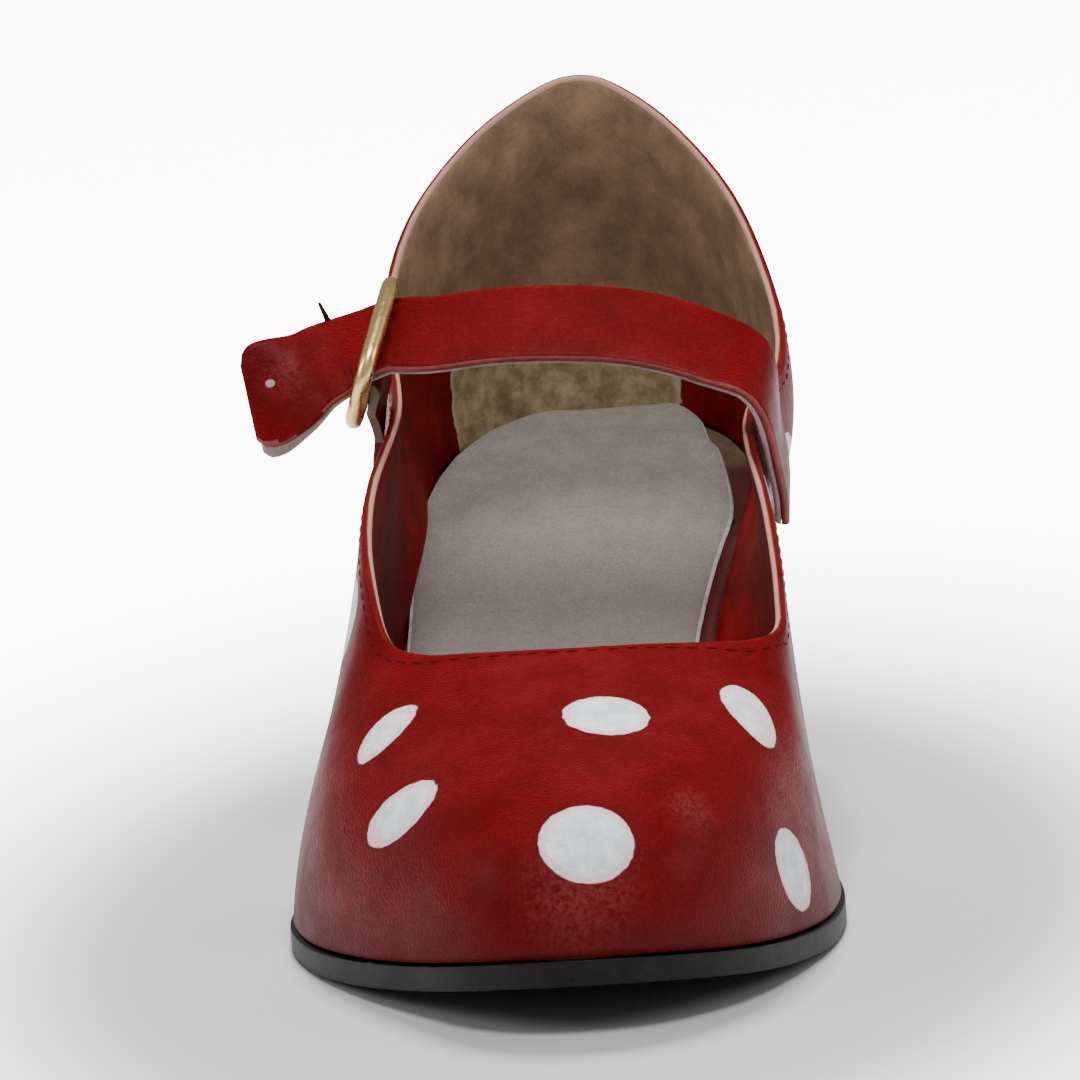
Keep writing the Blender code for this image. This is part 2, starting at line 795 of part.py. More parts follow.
def tube(name, path, radius, closed, finish):
    curve = bpy.data.curves.new(name, "CURVE")
    curve.dimensions = "3D"
    curve.bevel_depth = radius * SCALE
    curve.bevel_resolution = 3
    curve.use_fill_caps = not closed
    spline = curve.splines.new("POLY")
    spline.points.add(len(path) - 1)
    for target, point in zip(spline.points, path):
        target.co = (point.x * SCALE, point.y * SCALE, point.z * SCALE, 1.0)
    spline.use_cyclic_u = closed
    holder = bpy.data.objects.new(name + "_path", curve)
    bpy.context.scene.collection.objects.link(holder)
    graph = bpy.context.evaluated_depsgraph_get()
    mesh = bpy.data.meshes.new_from_object(holder.evaluated_get(graph))
    bpy.data.objects.remove(holder)
    body = bpy.data.objects.new(name, mesh)
    bpy.context.scene.collection.objects.link(body)
    mesh.materials.clear()
    mesh.materials.append(finish)
    weld(body)
    return body


def weld(body):
    bpy.ops.object.select_all(action="DESELECT")
    bpy.context.view_layer.objects.active = body
    body.select_set(True)
    bpy.ops.object.mode_set(mode="EDIT")
    bpy.ops.mesh.select_all(action="SELECT")
    bpy.ops.mesh.remove_doubles(threshold=0.00001)
    bpy.ops.mesh.normals_make_consistent(inside=False)
    bpy.ops.object.mode_set(mode="OBJECT")


def make_buckle(gold):
    frame = tube("buckle_frame", ring_path(), WIRE, True, gold)
    reach = RING_LONG / 2.0 - WIRE
    ends = [in_buckle(-reach, BAR_AT, 0.0), in_buckle(reach, BAR_AT, 0.0)]
    bar = tube("buckle_bar", ends, WIRE, False, gold)
    keep_as_tool(bar)
    unite(frame, bar)
    return frame


def make_prong(gold):
    path = []
    loop = WIRE + GAP + PRONG
    for i in range(15):
        angle = math.radians(-200.0 + 250.0 * i / 14.0)
        level = BAR_AT + loop * math.sin(angle)
        path.append(in_buckle(0.0, level, loop * math.cos(angle)))
    path.append(in_buckle(0.0, STRAP_LEVEL - 0.7, 0.9))
    path.append(in_buckle(0.0, RING_SHORT / 2.0 - 2.0 * WIRE - GAP, 0.4))
    return tube("buckle_prong", path, PRONG, False, gold)


def make_chape(red):
    """Tab that wraps the buckle's bar and is sewn to the outer quarter."""
    round_bar = WIRE + GAP + CHAPE_THICK / 2.0
    clear = CHAPE_THICK / 2.0 + GAP + 0.3
    along = buckle_axes()[0]
    half = CHAPE_WIDTH / 2.0
    path = []
    for degrees in (165.0, 130.0, 90.0, 50.0, 10.0, -30.0, -65.0, -90.0):
        angle = math.radians(degrees)
        level = BAR_AT + round_bar * math.cos(angle)
        point = in_buckle(0.0, level, round_bar * math.sin(angle))
        path.append((point, along, half))
    path.append((in_buckle(0.0, BAR_AT - 2.0, -round_bar), along, half))
    path.append((in_buckle(0.0, BAR_AT - 4.4, -round_bar - 0.1), along, half))
    path += seat_on_upper(CHAPE_SEAT, False, clear, along, half)
    points, faces = ribbon(path, CHAPE_THICK, across=2, samples=44)
    chape = new_object("chape", points, faces, red)
    slot = tool_cylinder("prong_slot", 3.1, PRONG_SLOT, in_buckle(0.0, BAR_AT, 0.0), along)
    subtract(chape, slot)
    return chape


def clear_scene():
    for body in list(bpy.data.objects):
        bpy.data.objects.remove(body, do_unlink=True)


def main():
    clear_scene()
    red = material("red_leather", (0.25, 0.02, 0.025), 0.42, 0.0)
    red_heel = material("red_heel_cover", (0.22, 0.018, 0.022), 0.42, 0.0)
    red_strap = material("red_strap", (0.22, 0.016, 0.02), 0.42, 0.0)
    red_chape = material("red_chape", (0.22, 0.016, 0.02), 0.42, 0.0)
    black = material("black_sole", (0.012, 0.012, 0.016), 0.5, 0.0)
    black_lift = material("black_lift", (0.01, 0.011, 0.014), 0.55, 0.0)
    tan = material("tan_insole", (0.16, 0.11, 0.06), 0.85, 0.0)
    grey = material("grey_sock", (0.3, 0.28, 0.26), 0.8, 0.0)
    gold = material("gold_buckle", (0.85, 0.6, 0.25), 0.25, 1.0)
    gold_prong = material("gold_prong", (0.85, 0.6, 0.25), 0.25, 1.0)
    make_upper(red)
    make_outsole(black)
    make_heel(red_heel)
    make_top_lift(black_lift)
    make_insole(tan)
    make_sock(grey)
    make_strap(red_strap)
    make_buckle(gold)
    make_prong(gold_prong)
    make_chape(red_chape)


main()
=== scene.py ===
"""Looks of a child's strapped pump: leather, linings, sole, buckle and stage."""
import bpy
import bmesh
import math
from mathutils import Matrix, Vector, kdtree, noise
from mathutils.bvhtree import BVHTree


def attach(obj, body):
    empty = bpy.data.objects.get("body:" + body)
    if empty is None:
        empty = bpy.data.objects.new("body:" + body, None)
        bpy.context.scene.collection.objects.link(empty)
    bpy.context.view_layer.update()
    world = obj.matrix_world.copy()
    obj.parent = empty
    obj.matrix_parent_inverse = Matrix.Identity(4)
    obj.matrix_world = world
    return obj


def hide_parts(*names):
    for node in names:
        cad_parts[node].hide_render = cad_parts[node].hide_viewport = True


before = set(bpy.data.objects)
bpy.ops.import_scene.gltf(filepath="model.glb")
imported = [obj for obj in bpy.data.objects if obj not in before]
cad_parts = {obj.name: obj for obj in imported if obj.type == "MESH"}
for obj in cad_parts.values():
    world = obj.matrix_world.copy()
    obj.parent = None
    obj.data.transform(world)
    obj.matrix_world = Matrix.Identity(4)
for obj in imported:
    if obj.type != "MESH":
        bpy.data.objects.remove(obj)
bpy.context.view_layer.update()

bl_info = {
    "name": "Strapped Pump Looks",
    "version": (1, 0, 0),
    "blender": (4, 5, 0),
    "location": "View3D > Sidebar > Pump",
    "description": "Dresses the solids of a strapped pump with leather, linings and a studio stage",
    "category": "Object",
}

MM = 0.001
UP = Vector((0.0, 0.0, 1.0))

# Dots that the photo shows, in millimetres: centre, long way, long and short
# diameter. The leather is pulled over the last, so the dots at the toe's
# shoulders are ellipses.
SEEN_DOTS = (
    (5.2, -142.4, 21.4, 0.85, -0.36, -0.39, 11.0, 10.2),
    (7.0, -121.1, 30.8, 0.82, -0.54, -0.18, 10.6, 8.8),
    (23.2, -114.0, 28.7, -0.42, 0.70, 0.58, 10.3, 6.8),
    (-19.2, -111.3, 27.5, 0.76, 0.07, 0.64, 9.5, 5.5),
    (-16.8, -125.0, 21.4, 0.68, -0.54, 0.49, 13.2, 6.9),
    (27.4, -123.4, 12.0, -0.28, -0.51, 0.81, 11.2, 8.0),
    (-24.6, -82.0, 35.0, 0.0, 0.1, 1.0, 10.4, 10.4),
    (-22.0, -64.4, 33.0, 0.0, 0.0, 1.0, 10.6, 10.6),
    (-22.0, -39.6, 38.8, 0.0, 0.0, 1.0, 10.6, 10.6),
    (25.0, -68.0, 41.5, 0.0, 0.0, 1.0, 10.6, 10.6),
    (27.0, -40.0, 41.0, 0.0, 0.0, 1.0, 10.6, 10.6),
    (25.0, -16.1, 42.0, 0.0, 0.0, 1.0, 10.6, 10.6),
)
HEEL_DOTS = (
    (-20.0, -9.0, 22.0, 0.0, 0.0, 1.0, 10.6, 10.6),
    (19.0, -4.0, 18.0, 0.0, 0.0, 1.0, 10.6, 10.6),
    (0.0, 12.0, 20.0, 0.0, 0.0, 1.0, 10.6, 10.6),
)

# Distance from a dot's edge, in millimetres, past which the leather is plain.
PLAIN_REACH = 6.0

# Places where the photo shows bare leather.
BARE_SPOTS = (
    (-27.0, -125.0, 11.0),
    (-8.0, -133.0, 24.0),
    (-6.0, -112.0, 33.0),
    (16.0, -128.0, 26.0),
    (15.0, -143.0, 14.0),
    (-8.0, -143.0, 14.0),
    (32.0, -104.0, 14.0),
    (31.0, -96.0, 24.0),
    (-30.0, -112.0, 14.0),
)

# Patches of wear on the leather in millimetres: centre, radius and strength. On the upper's toe they also
# stand for painted highlights.
UPPER_WEAR_AND_SHEEN = (
    ((4.9, -146.0, 15.3), 9.0, 0.28),
    ((17.3, -136.0, 22.4), 4.5, 0.22),
    ((30.0, -118.0, 14.0), 6.0, 0.2),
)
HEEL_WEAR = (((-20.0, -20.0, 20.0), 8.0, 0.4),)
STRAP_WEAR = (((-33.0, -55.0, 60.0), 4.0, 0.2),)

# Stitches along the topline, in millimetres.
STITCH_GAP = 2.3
STITCH_LONG = 1.7
STITCH_RADIUS = 0.15
STITCH_DOWN = 1.9
STITCH_SUNK = 0.04

# Strap from its sewn inner end to its free end, in millimetres: centre line,
# direction of the width, half width.
STRAP = (
    (26.0, -50.9, 40.9, 0.01, 0.90, 0.44, 5.8),
    (26.0, -52.4, 44.1, 0.00, 0.90, 0.44, 5.8),
    (25.6, -53.7, 47.5, -0.01, 0.90, 0.43, 5.8),
    (23.4, -56.2, 57.6, 0.10, 0.86, 0.50, 5.8),
    (17.8, -55.2, 60.6, 0.03, 0.80, 0.60, 5.8),
    (9.4, -54.4, 63.2, 0.00, 0.77, 0.63, 5.8),
    (0.0, -54.2, 64.3, 0.00, 0.77, 0.64, 5.8),
    (-8.0, -54.2, 64.4, 0.05, 0.77, 0.63, 5.8),
    (-15.0, -54.2, 63.9, 0.10, 0.77, 0.63, 5.8),
    (-20.0, -53.2, 63.8, 0.21, 0.76, 0.62, 5.8),
    (-23.1, -53.2, 62.9, 0.21, 0.76, 0.62, 5.8),
    (-25.7, -53.2, 62.2, 0.21, 0.76, 0.62, 5.8),
    (-28.9, -54.3, 60.8, 0.15, 0.64, 0.75, 5.8),
    (-31.5, -54.6, 59.5, 0.09, 0.46, 0.88, 6.1),
    (-34.5, -54.8, 58.3, 0.03, 0.34, 0.94, 6.5),
    (-37.5, -55.0, 57.1, 0.00, 0.28, 0.96, 6.4),
)
STRAP_STEPS = 120
SKEWED_STEPS = 10
TIP_STEPS = 4.2

# Sections of the strap's two layers: share of the half width, and height over
# the strap's middle in millimetres.
LEATHER_SECTION = (
    (-0.97, -0.1), (-1.0, 0.1), (-1.0, 0.55), (-0.965, 0.82),
    (-0.88, 0.9), (-0.5, 0.9), (0.0, 0.9), (0.5, 0.9),
    (0.88, 0.9), (0.965, 0.82), (1.0, 0.55), (1.0, 0.1),
    (0.97, -0.1), (0.5, -0.1), (0.0, -0.1), (-0.5, -0.1),
)
LINING_SECTION = (
    (-0.985, -0.15), (-0.93, -0.75), (-0.85, -0.9), (0.0, -0.9),
    (0.85, -0.9), (0.93, -0.75), (0.985, -0.15), (0.0, -0.12),
)
LINING_SLIP = 1.6
SLIP_FROM = 96
PINHOLE_AT = Vector((-34.85, -55.0, 60.0))
PINHOLE_HALVES = (0.62, 0.5, 0.12)
LOOSE_THREAD_X = -25.6
LOOSE_THREAD_WAY = Vector((-0.38, 0.05, 0.92))

# Direction of the buckle's bar, and how much fuller its wire is drawn.
BUCKLE_BAR = Vector((0.2077, 0.7593, 0.6167))
WIRE_FULLER = 0.26

# Sock pad from the toe end to the back, in millimetres: place along the shoe,
# outer edge and inner edge. The inner edge has a small torn step.
PAD_ROWS = (
    (-71.5, -19.5, 12.5),
    (-69.5, -21.4, 14.6),
    (-60.0, -22.0, 14.3),
    (-50.0, -21.9, 13.9),
    (-43.0, -21.9, 14.4),
    (-34.5, -21.7, 15.9),
    (-27.0, -21.7, 17.4),
    (-23.0, -21.6, 18.8),
    (-17.0, -21.0, 18.4),
    (-10.0, -19.7, 17.4),
    (-3.6, -17.8, 16.4),
    (-2.8, -17.6, 15.1),
    (2.5, -15.4, 14.6),
    (6.5, -12.6, 13.5),
    (9.6, -9.2, 11.9),
    (11.6, -4.5, 9.5),
)
PAD_THICK = 1.0
PAD_ACROSS = 12
DARK_STRIP_THICK = 0.8

# Camera of the photo in millimetres, and its axes.
CAMERA_AT = Vector((68.8, -1052.7, 234.5))
CAMERA_RIGHT = Vector((0.9976, 0.0224, -0.0659))
CAMERA_DOWN = Vector((-0.0611, -0.1728, -0.9831))
CAMERA_AHEAD = Vector((-0.0334, 0.9847, -0.171))

# The photo's width and focal length in its pixels, and the pixel that the
# camera looks at.
PHOTO_SIZE = 1080.0
PHOTO_FOCUS = 6097.2
PHOTO_MIDDLE = (319.0, 690.0)

# Soft lights in metres and watts: place, diameter, power and whether the gloss
# shows them. All of them point at one place in the shoe.
LIGHTS = {
    "back_light": ((0.0, 0.36, 0.8), 0.25, 12.0, False),
    "front_light": ((0.05, -0.45, 0.85), 0.35, 5.0, True),
    "left_light": ((-0.8, -0.3, 0.5), 0.4, 2.0, True),
    "right_light": ((0.85, -0.2, 0.45), 0.4, 1.5, True),
}
LIT_PLACE = Vector((0.0, -0.06, 0.03))

# The floor's painted shadow round the shoe, where the base colour darkens and the glow fades out, is an
# ellipse: its middle and its share of width to length.
SHADOW_MIDDLE = -0.085
SHADOW_SHARE = 0.55


def colour_setting(name, description, default):
    return bpy.props.FloatVectorProperty(
        name=name, description=description, subtype="COLOR", size=3, min=0.0, max=1.0, default=default)


def length_setting(name, description, least, most, default):
    return bpy.props.FloatProperty(
        name=name, description=description, subtype="DISTANCE", unit="LENGTH",
        min=least, max=most, default=default)


def number_setting(name, description, least, most, default):
    return bpy.props.FloatProperty(name=name, description=description, min=least, max=most, default=default)


class PumpLeather(bpy.types.PropertyGroup):
    red: colour_setting("Red", "Colour of the coated leather", (0.134, 0.0022, 0.0036))
    deep: colour_setting("Deep red", "Darker tone of the mottled leather", (0.092, 0.0009, 0.0018))
    fleck: colour_setting("Fleck", "Colour of the leather's fine flecks", (0.20, 0.008, 0.010))
    rub: colour_setting("Rub", "Colour of the leather's rub marks", (0.20, 0.02, 0.022))
    # Pale colour of the patches: wear, and on the toe painted highlights.
    worn_and_sheen: colour_setting("Worn_and_sheen", "Colour of the leather's worn patches", (0.34, 0.085, 0.085))
    # Colour of the leather close to the sole: soiling and painted shade.
    grime_and_shade: colour_setting("Grime_and_shade", "Colour of the leather close to the sole", (0.05, 0.006, 0.007))
    # Colour of the painted highlight along the topline's fold next to the lining.
    edge: colour_setting("Edge_highlight", "Pale tone of the cut edges", (0.50, 0.26, 0.20))
    thread: colour_setting("Thread", "Colour of the topline's stitches", (0.11, 0.0014, 0.0027))
    roughness: number_setting("Roughness", "Roughness of the coated leather", 0.05, 1.0, 0.4)
    grain: length_setting("Grain", "Size of the leather's grain", 0.0001, 0.005, 0.0006)


class PumpDots(bpy.types.PropertyGroup):
    diameter: length_setting("Diameter", "Diameter of a printed dot", 0.002, 0.03, 0.0106)
    spacing: length_setting(
        "Spacing", "Least distance between dots that the photo doesn't show", 0.005, 0.06, 0.0185)
    white: colour_setting("White", "Colour of a dot", (0.84, 0.88, 0.92))
    rim: colour_setting("Rim", "Colour of a dot's rim", (0.80, 0.58, 0.62))
    halo: colour_setting("Halo", "Colour of the leather close round a dot", (0.07, 0.006, 0.010))


class PumpInside(bpy.types.PropertyGroup):
    suede: colour_setting("Counter suede", "Colour of the lining behind the strap", (0.35, 0.225, 0.14))
    red: colour_setting(
        "Quarter lining", "Colour of the lining in front of the strap", (0.22, 0.0030, 0.0050))
    board: colour_setting("Footbed", "Colour of the footbed behind the sock pad", (0.175, 0.13, 0.078))
    board_ahead: colour_setting(
        "Footbed ahead", "Colour of the footbed beside the sock pad", (0.085, 0.022, 0.020))
    pad: colour_setting("Sock pad", "Colour of the sock pad", (0.33, 0.30, 0.275))
    pad_ahead: colour_setting(
        "Sock pad ahead", "Colour of the sock pad towards the toe", (0.125, 0.105, 0.095))
    strap: colour_setting("Strap lining", "Colour of the strap's lining", (0.46, 0.31, 0.30))


class PumpSole(bpy.types.PropertyGroup):
    black: colour_setting("Black", "Colour of the sole and the top piece", (0.0052, 0.0040, 0.0050))
    scuff: colour_setting("Scuff", "Colour of the sole's scuffs", (0.13, 0.14, 0.15))
    dust: colour_setting("Dust", "Colour of the dust on the sole", (0.032, 0.024, 0.028))


class PumpBuckle(bpy.types.PropertyGroup):
    gold: colour_setting("Gold", "Colour of the buckle's metal", (1.0, 0.68, 0.27))
    roughness: number_setting("Roughness", "Roughness of the buckle's metal", 0.02, 1.0, 0.22)


class PumpStage(bpy.types.PropertyGroup):
    zoom: number_setting("Zoom", "Enlargement over the photo, to frame the one shoe", 0.5, 3.0, 1.38)
    floor: colour_setting("Floor", "Colour of the floor", (0.9, 0.9, 0.9))
    # The floor's glow for the camera comes from no lamp; it fades out round the shoe, which leaves a
    # painted shadow there.
    glow: number_setting("Glow", "Brightness of the lit table away from the shoe", 0.0, 30.0, 9.0)
    sky: number_setting("Surrounding light", "Strength of the light from all round", 0.0, 5.0, 0.32)


def add_node(tree, kind, inputs=None, **settings):
    """New node with its settings. Each input gets a value or a link."""
    made = tree.nodes.new(kind)
    for key, value in settings.items():
        setattr(made, key, value)
    for key, value in (inputs or {}).items():
        if isinstance(value, bpy.types.NodeSocket):
            tree.links.new(value, made.inputs[key])
        else:
            made.inputs[key].default_value = value
    return made


def as_colour(value):
    """A colour with its alpha, or the socket that gives one."""
    return value if isinstance(value, bpy.types.NodeSocket) else (*value, 1.0)


def scaled(colour, share):
    return [share * value for value in colour]


def smooth_step(tree, value, low, high, start=0.0, end=1.0):
    """Smooth step of a value from start at low to end at high."""
    limits = {"From Min": low, "From Max": high, "To Min": start, "To Max": end}
    made = add_node(tree, "ShaderNodeMapRange", {"Value": value, **limits}, interpolation_type="SMOOTHSTEP")
    return made.outputs["Result"]


def calc(tree, operation, *values):
    """Result of a Math node."""
    return add_node(tree, "ShaderNodeMath", dict(enumerate(values)), operation=operation).outputs[0]


def mix_in(tree, colour, mask, other, kind="MIX"):
    """Colour mixed by the mask with another."""
    inputs = {"Factor": mask, "A": as_colour(colour), "B": as_colour(other)}
    return add_node(tree, "ShaderNodeMix", inputs, data_type="RGBA", blend_type=kind).outputs["Result"]


def clouds(tree, vector, scale, **inputs):
    """Value of a noise texture."""
    return add_node(tree, "ShaderNodeTexNoise", {"Vector": vector, "Scale": scale, **inputs}).outputs["Fac"]


def mesh_value(tree, name):
    """Value stored on the mesh."""
    return add_node(tree, "ShaderNodeAttribute", attribute_name=name).outputs["Fac"]


def new_group(name, takes, gives):
    """Shader node group that takes a Vector and more, and its two ends."""
    group = bpy.data.node_groups.new(name, "ShaderNodeTree")
    group.interface.new_socket("Vector", in_out="INPUT", socket_type="NodeSocketVector")
    for label, kind, default in takes:
        socket = group.interface.new_socket(label, in_out="INPUT", socket_type=kind)
        socket.default_value = default
    for label, kind in gives:
        group.interface.new_socket(label, in_out="OUTPUT", socket_type=kind)
    entry = group.nodes.new("NodeGroupInput")
    result = group.nodes.new("NodeGroupOutput")
    return group, entry.outputs, result.inputs


def grain_group():
    """Pebbled leather: small cells parted by creases, with fine pores."""
    group, given, result = new_group(
        "leather grain",
        (("Scale", "NodeSocketFloat", 1600.0),),
        (("Height", "NodeSocketFloat"),))
    cells = add_node(
        group, "ShaderNodeTexVoronoi", {"Vector": given["Vector"], "Scale": given["Scale"]},
        feature="DISTANCE_TO_EDGE")
    crease = smooth_step(group, cells.outputs["Distance"], 0.0, 0.22)
    pores = clouds(group, given["Vector"], given["Scale"], Detail=4.0)
    group.links.new(calc(group, "MULTIPLY_ADD", pores, 0.5, crease), result["Height"])
    return group


def mottle_group():
    """Two tones that run into each other in soft clouds and fine specks."""
    group, given, result = new_group(
        "mottle",
        (("Scale", "NodeSocketFloat", 80.0),
         ("Dark", "NodeSocketColor", (0.1, 0.1, 0.1, 1.0)),
         ("Light", "NodeSocketColor", (0.5, 0.5, 0.5, 1.0))),
        (("Color", "NodeSocketColor"), ("Cloud", "NodeSocketFloat")))
    cloud = clouds(group, given["Vector"], given["Scale"], Detail=5.0, Roughness=0.68)
    spread = smooth_step(group, cloud, 0.32, 0.68)
    group.links.new(mix_in(group, given["Dark"], spread, given["Light"]), result["Color"])
    group.links.new(spread, result["Cloud"])
    return group


def rub_group():
    """Mask of streaky rub marks, stretched along one direction."""
    group, given, result = new_group(
        "rub marks",
        (("Stretch", "NodeSocketVector", (900.0, 90.0, 90.0)), ("Amount", "NodeSocketFloat", 0.5)),
        (("Mask", "NodeSocketFloat"),))
    stretched = add_node(
        group, "ShaderNodeVectorMath", {0: given["Vector"], 1: given["Stretch"]}, operation="MULTIPLY")
    streaks = clouds(group, stretched.outputs[0], 1.0, Detail=6.0, Roughness=0.7)
    patches = clouds(group, given["Vector"], 38.0, Detail=3.0)
    thin = smooth_step(group, streaks, 0.5, 0.72)
    where = smooth_step(group, patches, 0.42, 0.62)
    mask = calc(group, "MULTIPLY", calc(group, "MULTIPLY", thin, where), given["Amount"])
    group.links.new(mask, result["Mask"])
    return group


def nap_group():
    """Nap of suede and felt: short fibres and slow changes of direction."""
    group, given, result = new_group(
        "nap",
        (("Scale", "NodeSocketFloat", 2200.0),),
        (("Height", "NodeSocketFloat"), ("Shade", "NodeSocketFloat")))
    fine = clouds(group, given["Vector"], given["Scale"], Detail=5.0, Roughness=0.75, Distortion=1.4)
    slow = clouds(group, given["Vector"], 170.0, Detail=4.0)
    shade = calc(group, "MULTIPLY_ADD", slow, 0.5, calc(group, "MULTIPLY", fine, 0.5))
    group.links.new(fine, result["Height"])
    group.links.new(shade, result["Shade"])
    return group


GROUP_MAKERS = {
    "leather grain": grain_group,
    "mottle": mottle_group,
    "rub marks": rub_group,
    "nap": nap_group,
}


def use_group(tree, name, place, **inputs):
    """Node of a shared group, which is made the first time."""
    group = bpy.data.node_groups.get(name) or GROUP_MAKERS[name]()
    return add_node(tree, "ShaderNodeGroup", {"Vector": place, **inputs}, node_tree=group).outputs


def mottled(tree, place, scale, dark, light):
    return use_group(tree, "mottle", place, Scale=scale, Dark=as_colour(dark), Light=as_colour(light))


def new_finish(name, roughness, specular=0.5):
    finish = bpy.data.materials.new(name)
    finish.use_nodes = True
    tree = finish.node_tree
    shader = tree.nodes["Principled BSDF"]
    shader.inputs["Roughness"].default_value = roughness
    shader.inputs["Specular IOR Level"].default_value = specular
    place = add_node(tree, "ShaderNodeTexCoord").outputs["Object"]
    return finish, tree, shader, place


def raise_surface(tree, shader, height, distance, strength=1.0):
    """Bump over the one that the shader already has."""
    bump = add_node(
        tree, "ShaderNodeBump", {"Distance": distance, "Strength": strength, "Height": height})
    if shader.inputs["Normal"].is_linked:
        tree.links.new(shader.inputs["Normal"].links[0].from_socket, bump.inputs["Normal"])
    tree.links.new(bump.outputs["Normal"], shader.inputs["Normal"])


def grained(tree, shader, place, size, depth):
    grain = use_group(tree, "leather grain", place, Scale=1.0 / size)
    raise_surface(tree, shader, grain["Height"], depth, 0.5)


def patch_mask(tree, place, centre, radius):
    """Soft round patch about a point given in millimetres."""
    apart = add_node(
        tree, "ShaderNodeVectorMath", {0: place, 1: Vector(centre) * MM}, operation="DISTANCE")
    return smooth_step(tree, apart.outputs["Value"], radius * MM, 0.2 * radius * MM)


def printed(tree, place, colour, cloud):
    """Leather darkened close to the sole, partly by soiling and partly by painted shade, with its printed
    dots, and the mask of the dots.
    """
    look = bpy.context.scene.pump_leather
    dots = bpy.context.scene.pump_dots
    # Darker close to the sole: soiling and painted shade.
    soiled_and_shaded = smooth_step(tree, mesh_value(tree, "over_sole"), 7.0, 0.5, 0.0, 0.55)
    colour = mix_in(tree, colour, calc(tree, "MULTIPLY", soiled_and_shaded, cloud), look.grime_and_shade)
    wobble = clouds(tree, place, 700.0, Detail=2.0)
    ragged = calc(tree, "MULTIPLY_ADD", wobble, 0.35, mesh_value(tree, "from_dot"))
    white = mottled(tree, place, 420.0, scaled(dots.white, 0.72), dots.white)["Color"]
    white = mix_in(tree, white, smooth_step(tree, ragged, -0.75, -0.35), dots.rim)
    colour = mix_in(tree, colour, smooth_step(tree, ragged, 0.9, 0.25, 0.0, 0.35), dots.halo)
    mask = smooth_step(tree, ragged, 0.28, 0.08)
    return mix_in(tree, colour, mask, white), mask


def red_leather(name, dotted, patches=()):
    """Coated red leather, with printed dots read from the mesh."""
    look = bpy.context.scene.pump_leather
    finish, tree, shader, place = new_finish(name, look.roughness, 0.07)
    shader.inputs["Coat Roughness"].default_value = 0.3
    shader.inputs["Coat Weight"].default_value = 0.035
    tones = mottled(tree, place, 120.0, look.deep, look.red)
    specks = mottled(tree, place, 1500.0, (0.0, 0.0, 0.0), (1.0, 1.0, 1.0))["Cloud"]
    colour = mix_in(tree, tones["Color"], calc(tree, "MULTIPLY", specks, 0.16), look.fleck)
    marks = use_group(tree, "rub marks", place, Stretch=(420.0, 260.0, 900.0), Amount=0.25)
    colour = mix_in(tree, colour, marks["Mask"], look.rub)
    # Paler patches: wear, and on the upper's toe painted highlights.
    for centre, radius, amount in patches:
        patch = calc(tree, "MULTIPLY", patch_mask(tree, place, centre, radius), amount)
        colour = mix_in(tree, colour, calc(tree, "MULTIPLY", patch, specks), look.worn_and_sheen)
    if dotted:
        colour, mask = printed(tree, place, colour, tones["Cloud"])
        raise_surface(tree, shader, mask, 0.00005)
    tree.links.new(colour, shader.inputs["Base Color"])
    gloss = smooth_step(tree, tones["Cloud"], 0.0, 1.0, look.roughness + 0.06, look.roughness - 0.05)
    tree.links.new(gloss, shader.inputs["Roughness"])
    grained(tree, shader, place, look.grain, 0.00006)
    return finish


def topline_finish(name):
    """Turned red edge with a painted highlight: a pale line along the fold where it meets the lining."""
    look = bpy.context.scene.pump_leather
    finish, tree, shader, place = new_finish(name, 0.45, 0.2)
    tones = mottled(tree, place, 300.0, look.deep, look.red)
    # Painted highlight: a pale line along the fold next to the lining.
    line = smooth_step(tree, mesh_value(tree, "from_lining"), 0.80, 0.50)
    tree.links.new(mix_in(tree, tones["Color"], line, look.edge), shader.inputs["Base Color"])
    grained(tree, shader, place, 0.0005, 0.00004)
    return finish


def cut_edge(name, colour):
    """Pale painted edge of cut leather."""
    finish, tree, shader, place = new_finish(name, 0.5)
    tones = mottled(tree, place, 500.0, scaled(colour, 0.6), colour)
    tree.links.new(tones["Color"], shader.inputs["Base Color"])
    grained(tree, shader, place, 0.0005, 0.00004)
    return finish


def napped_colour(tree, place, colour, contrast):
    """Mottled colour shaded by the lie of its nap, and the nap's height."""
    tones = mottled(tree, place, 190.0, scaled(colour, contrast), colour)
    nap = use_group(tree, "nap", place)
    grey = smooth_step(tree, nap["Shade"], 0.2, 0.8, 0.15, 0.85)
    return mix_in(tree, tones["Color"], 0.55, grey, "OVERLAY"), nap["Height"]


def suede(name, colour, contrast):
    """Napped lining."""
    finish, tree, shader, place = new_finish(name, 0.92, 0.15)
    shader.inputs["Sheen Weight"].default_value = 0.25
    napped, height = napped_colour(tree, place, colour, contrast)
    tree.links.new(napped, shader.inputs["Base Color"])
    raise_surface(tree, shader, height, 0.00012, 0.6)
    return finish


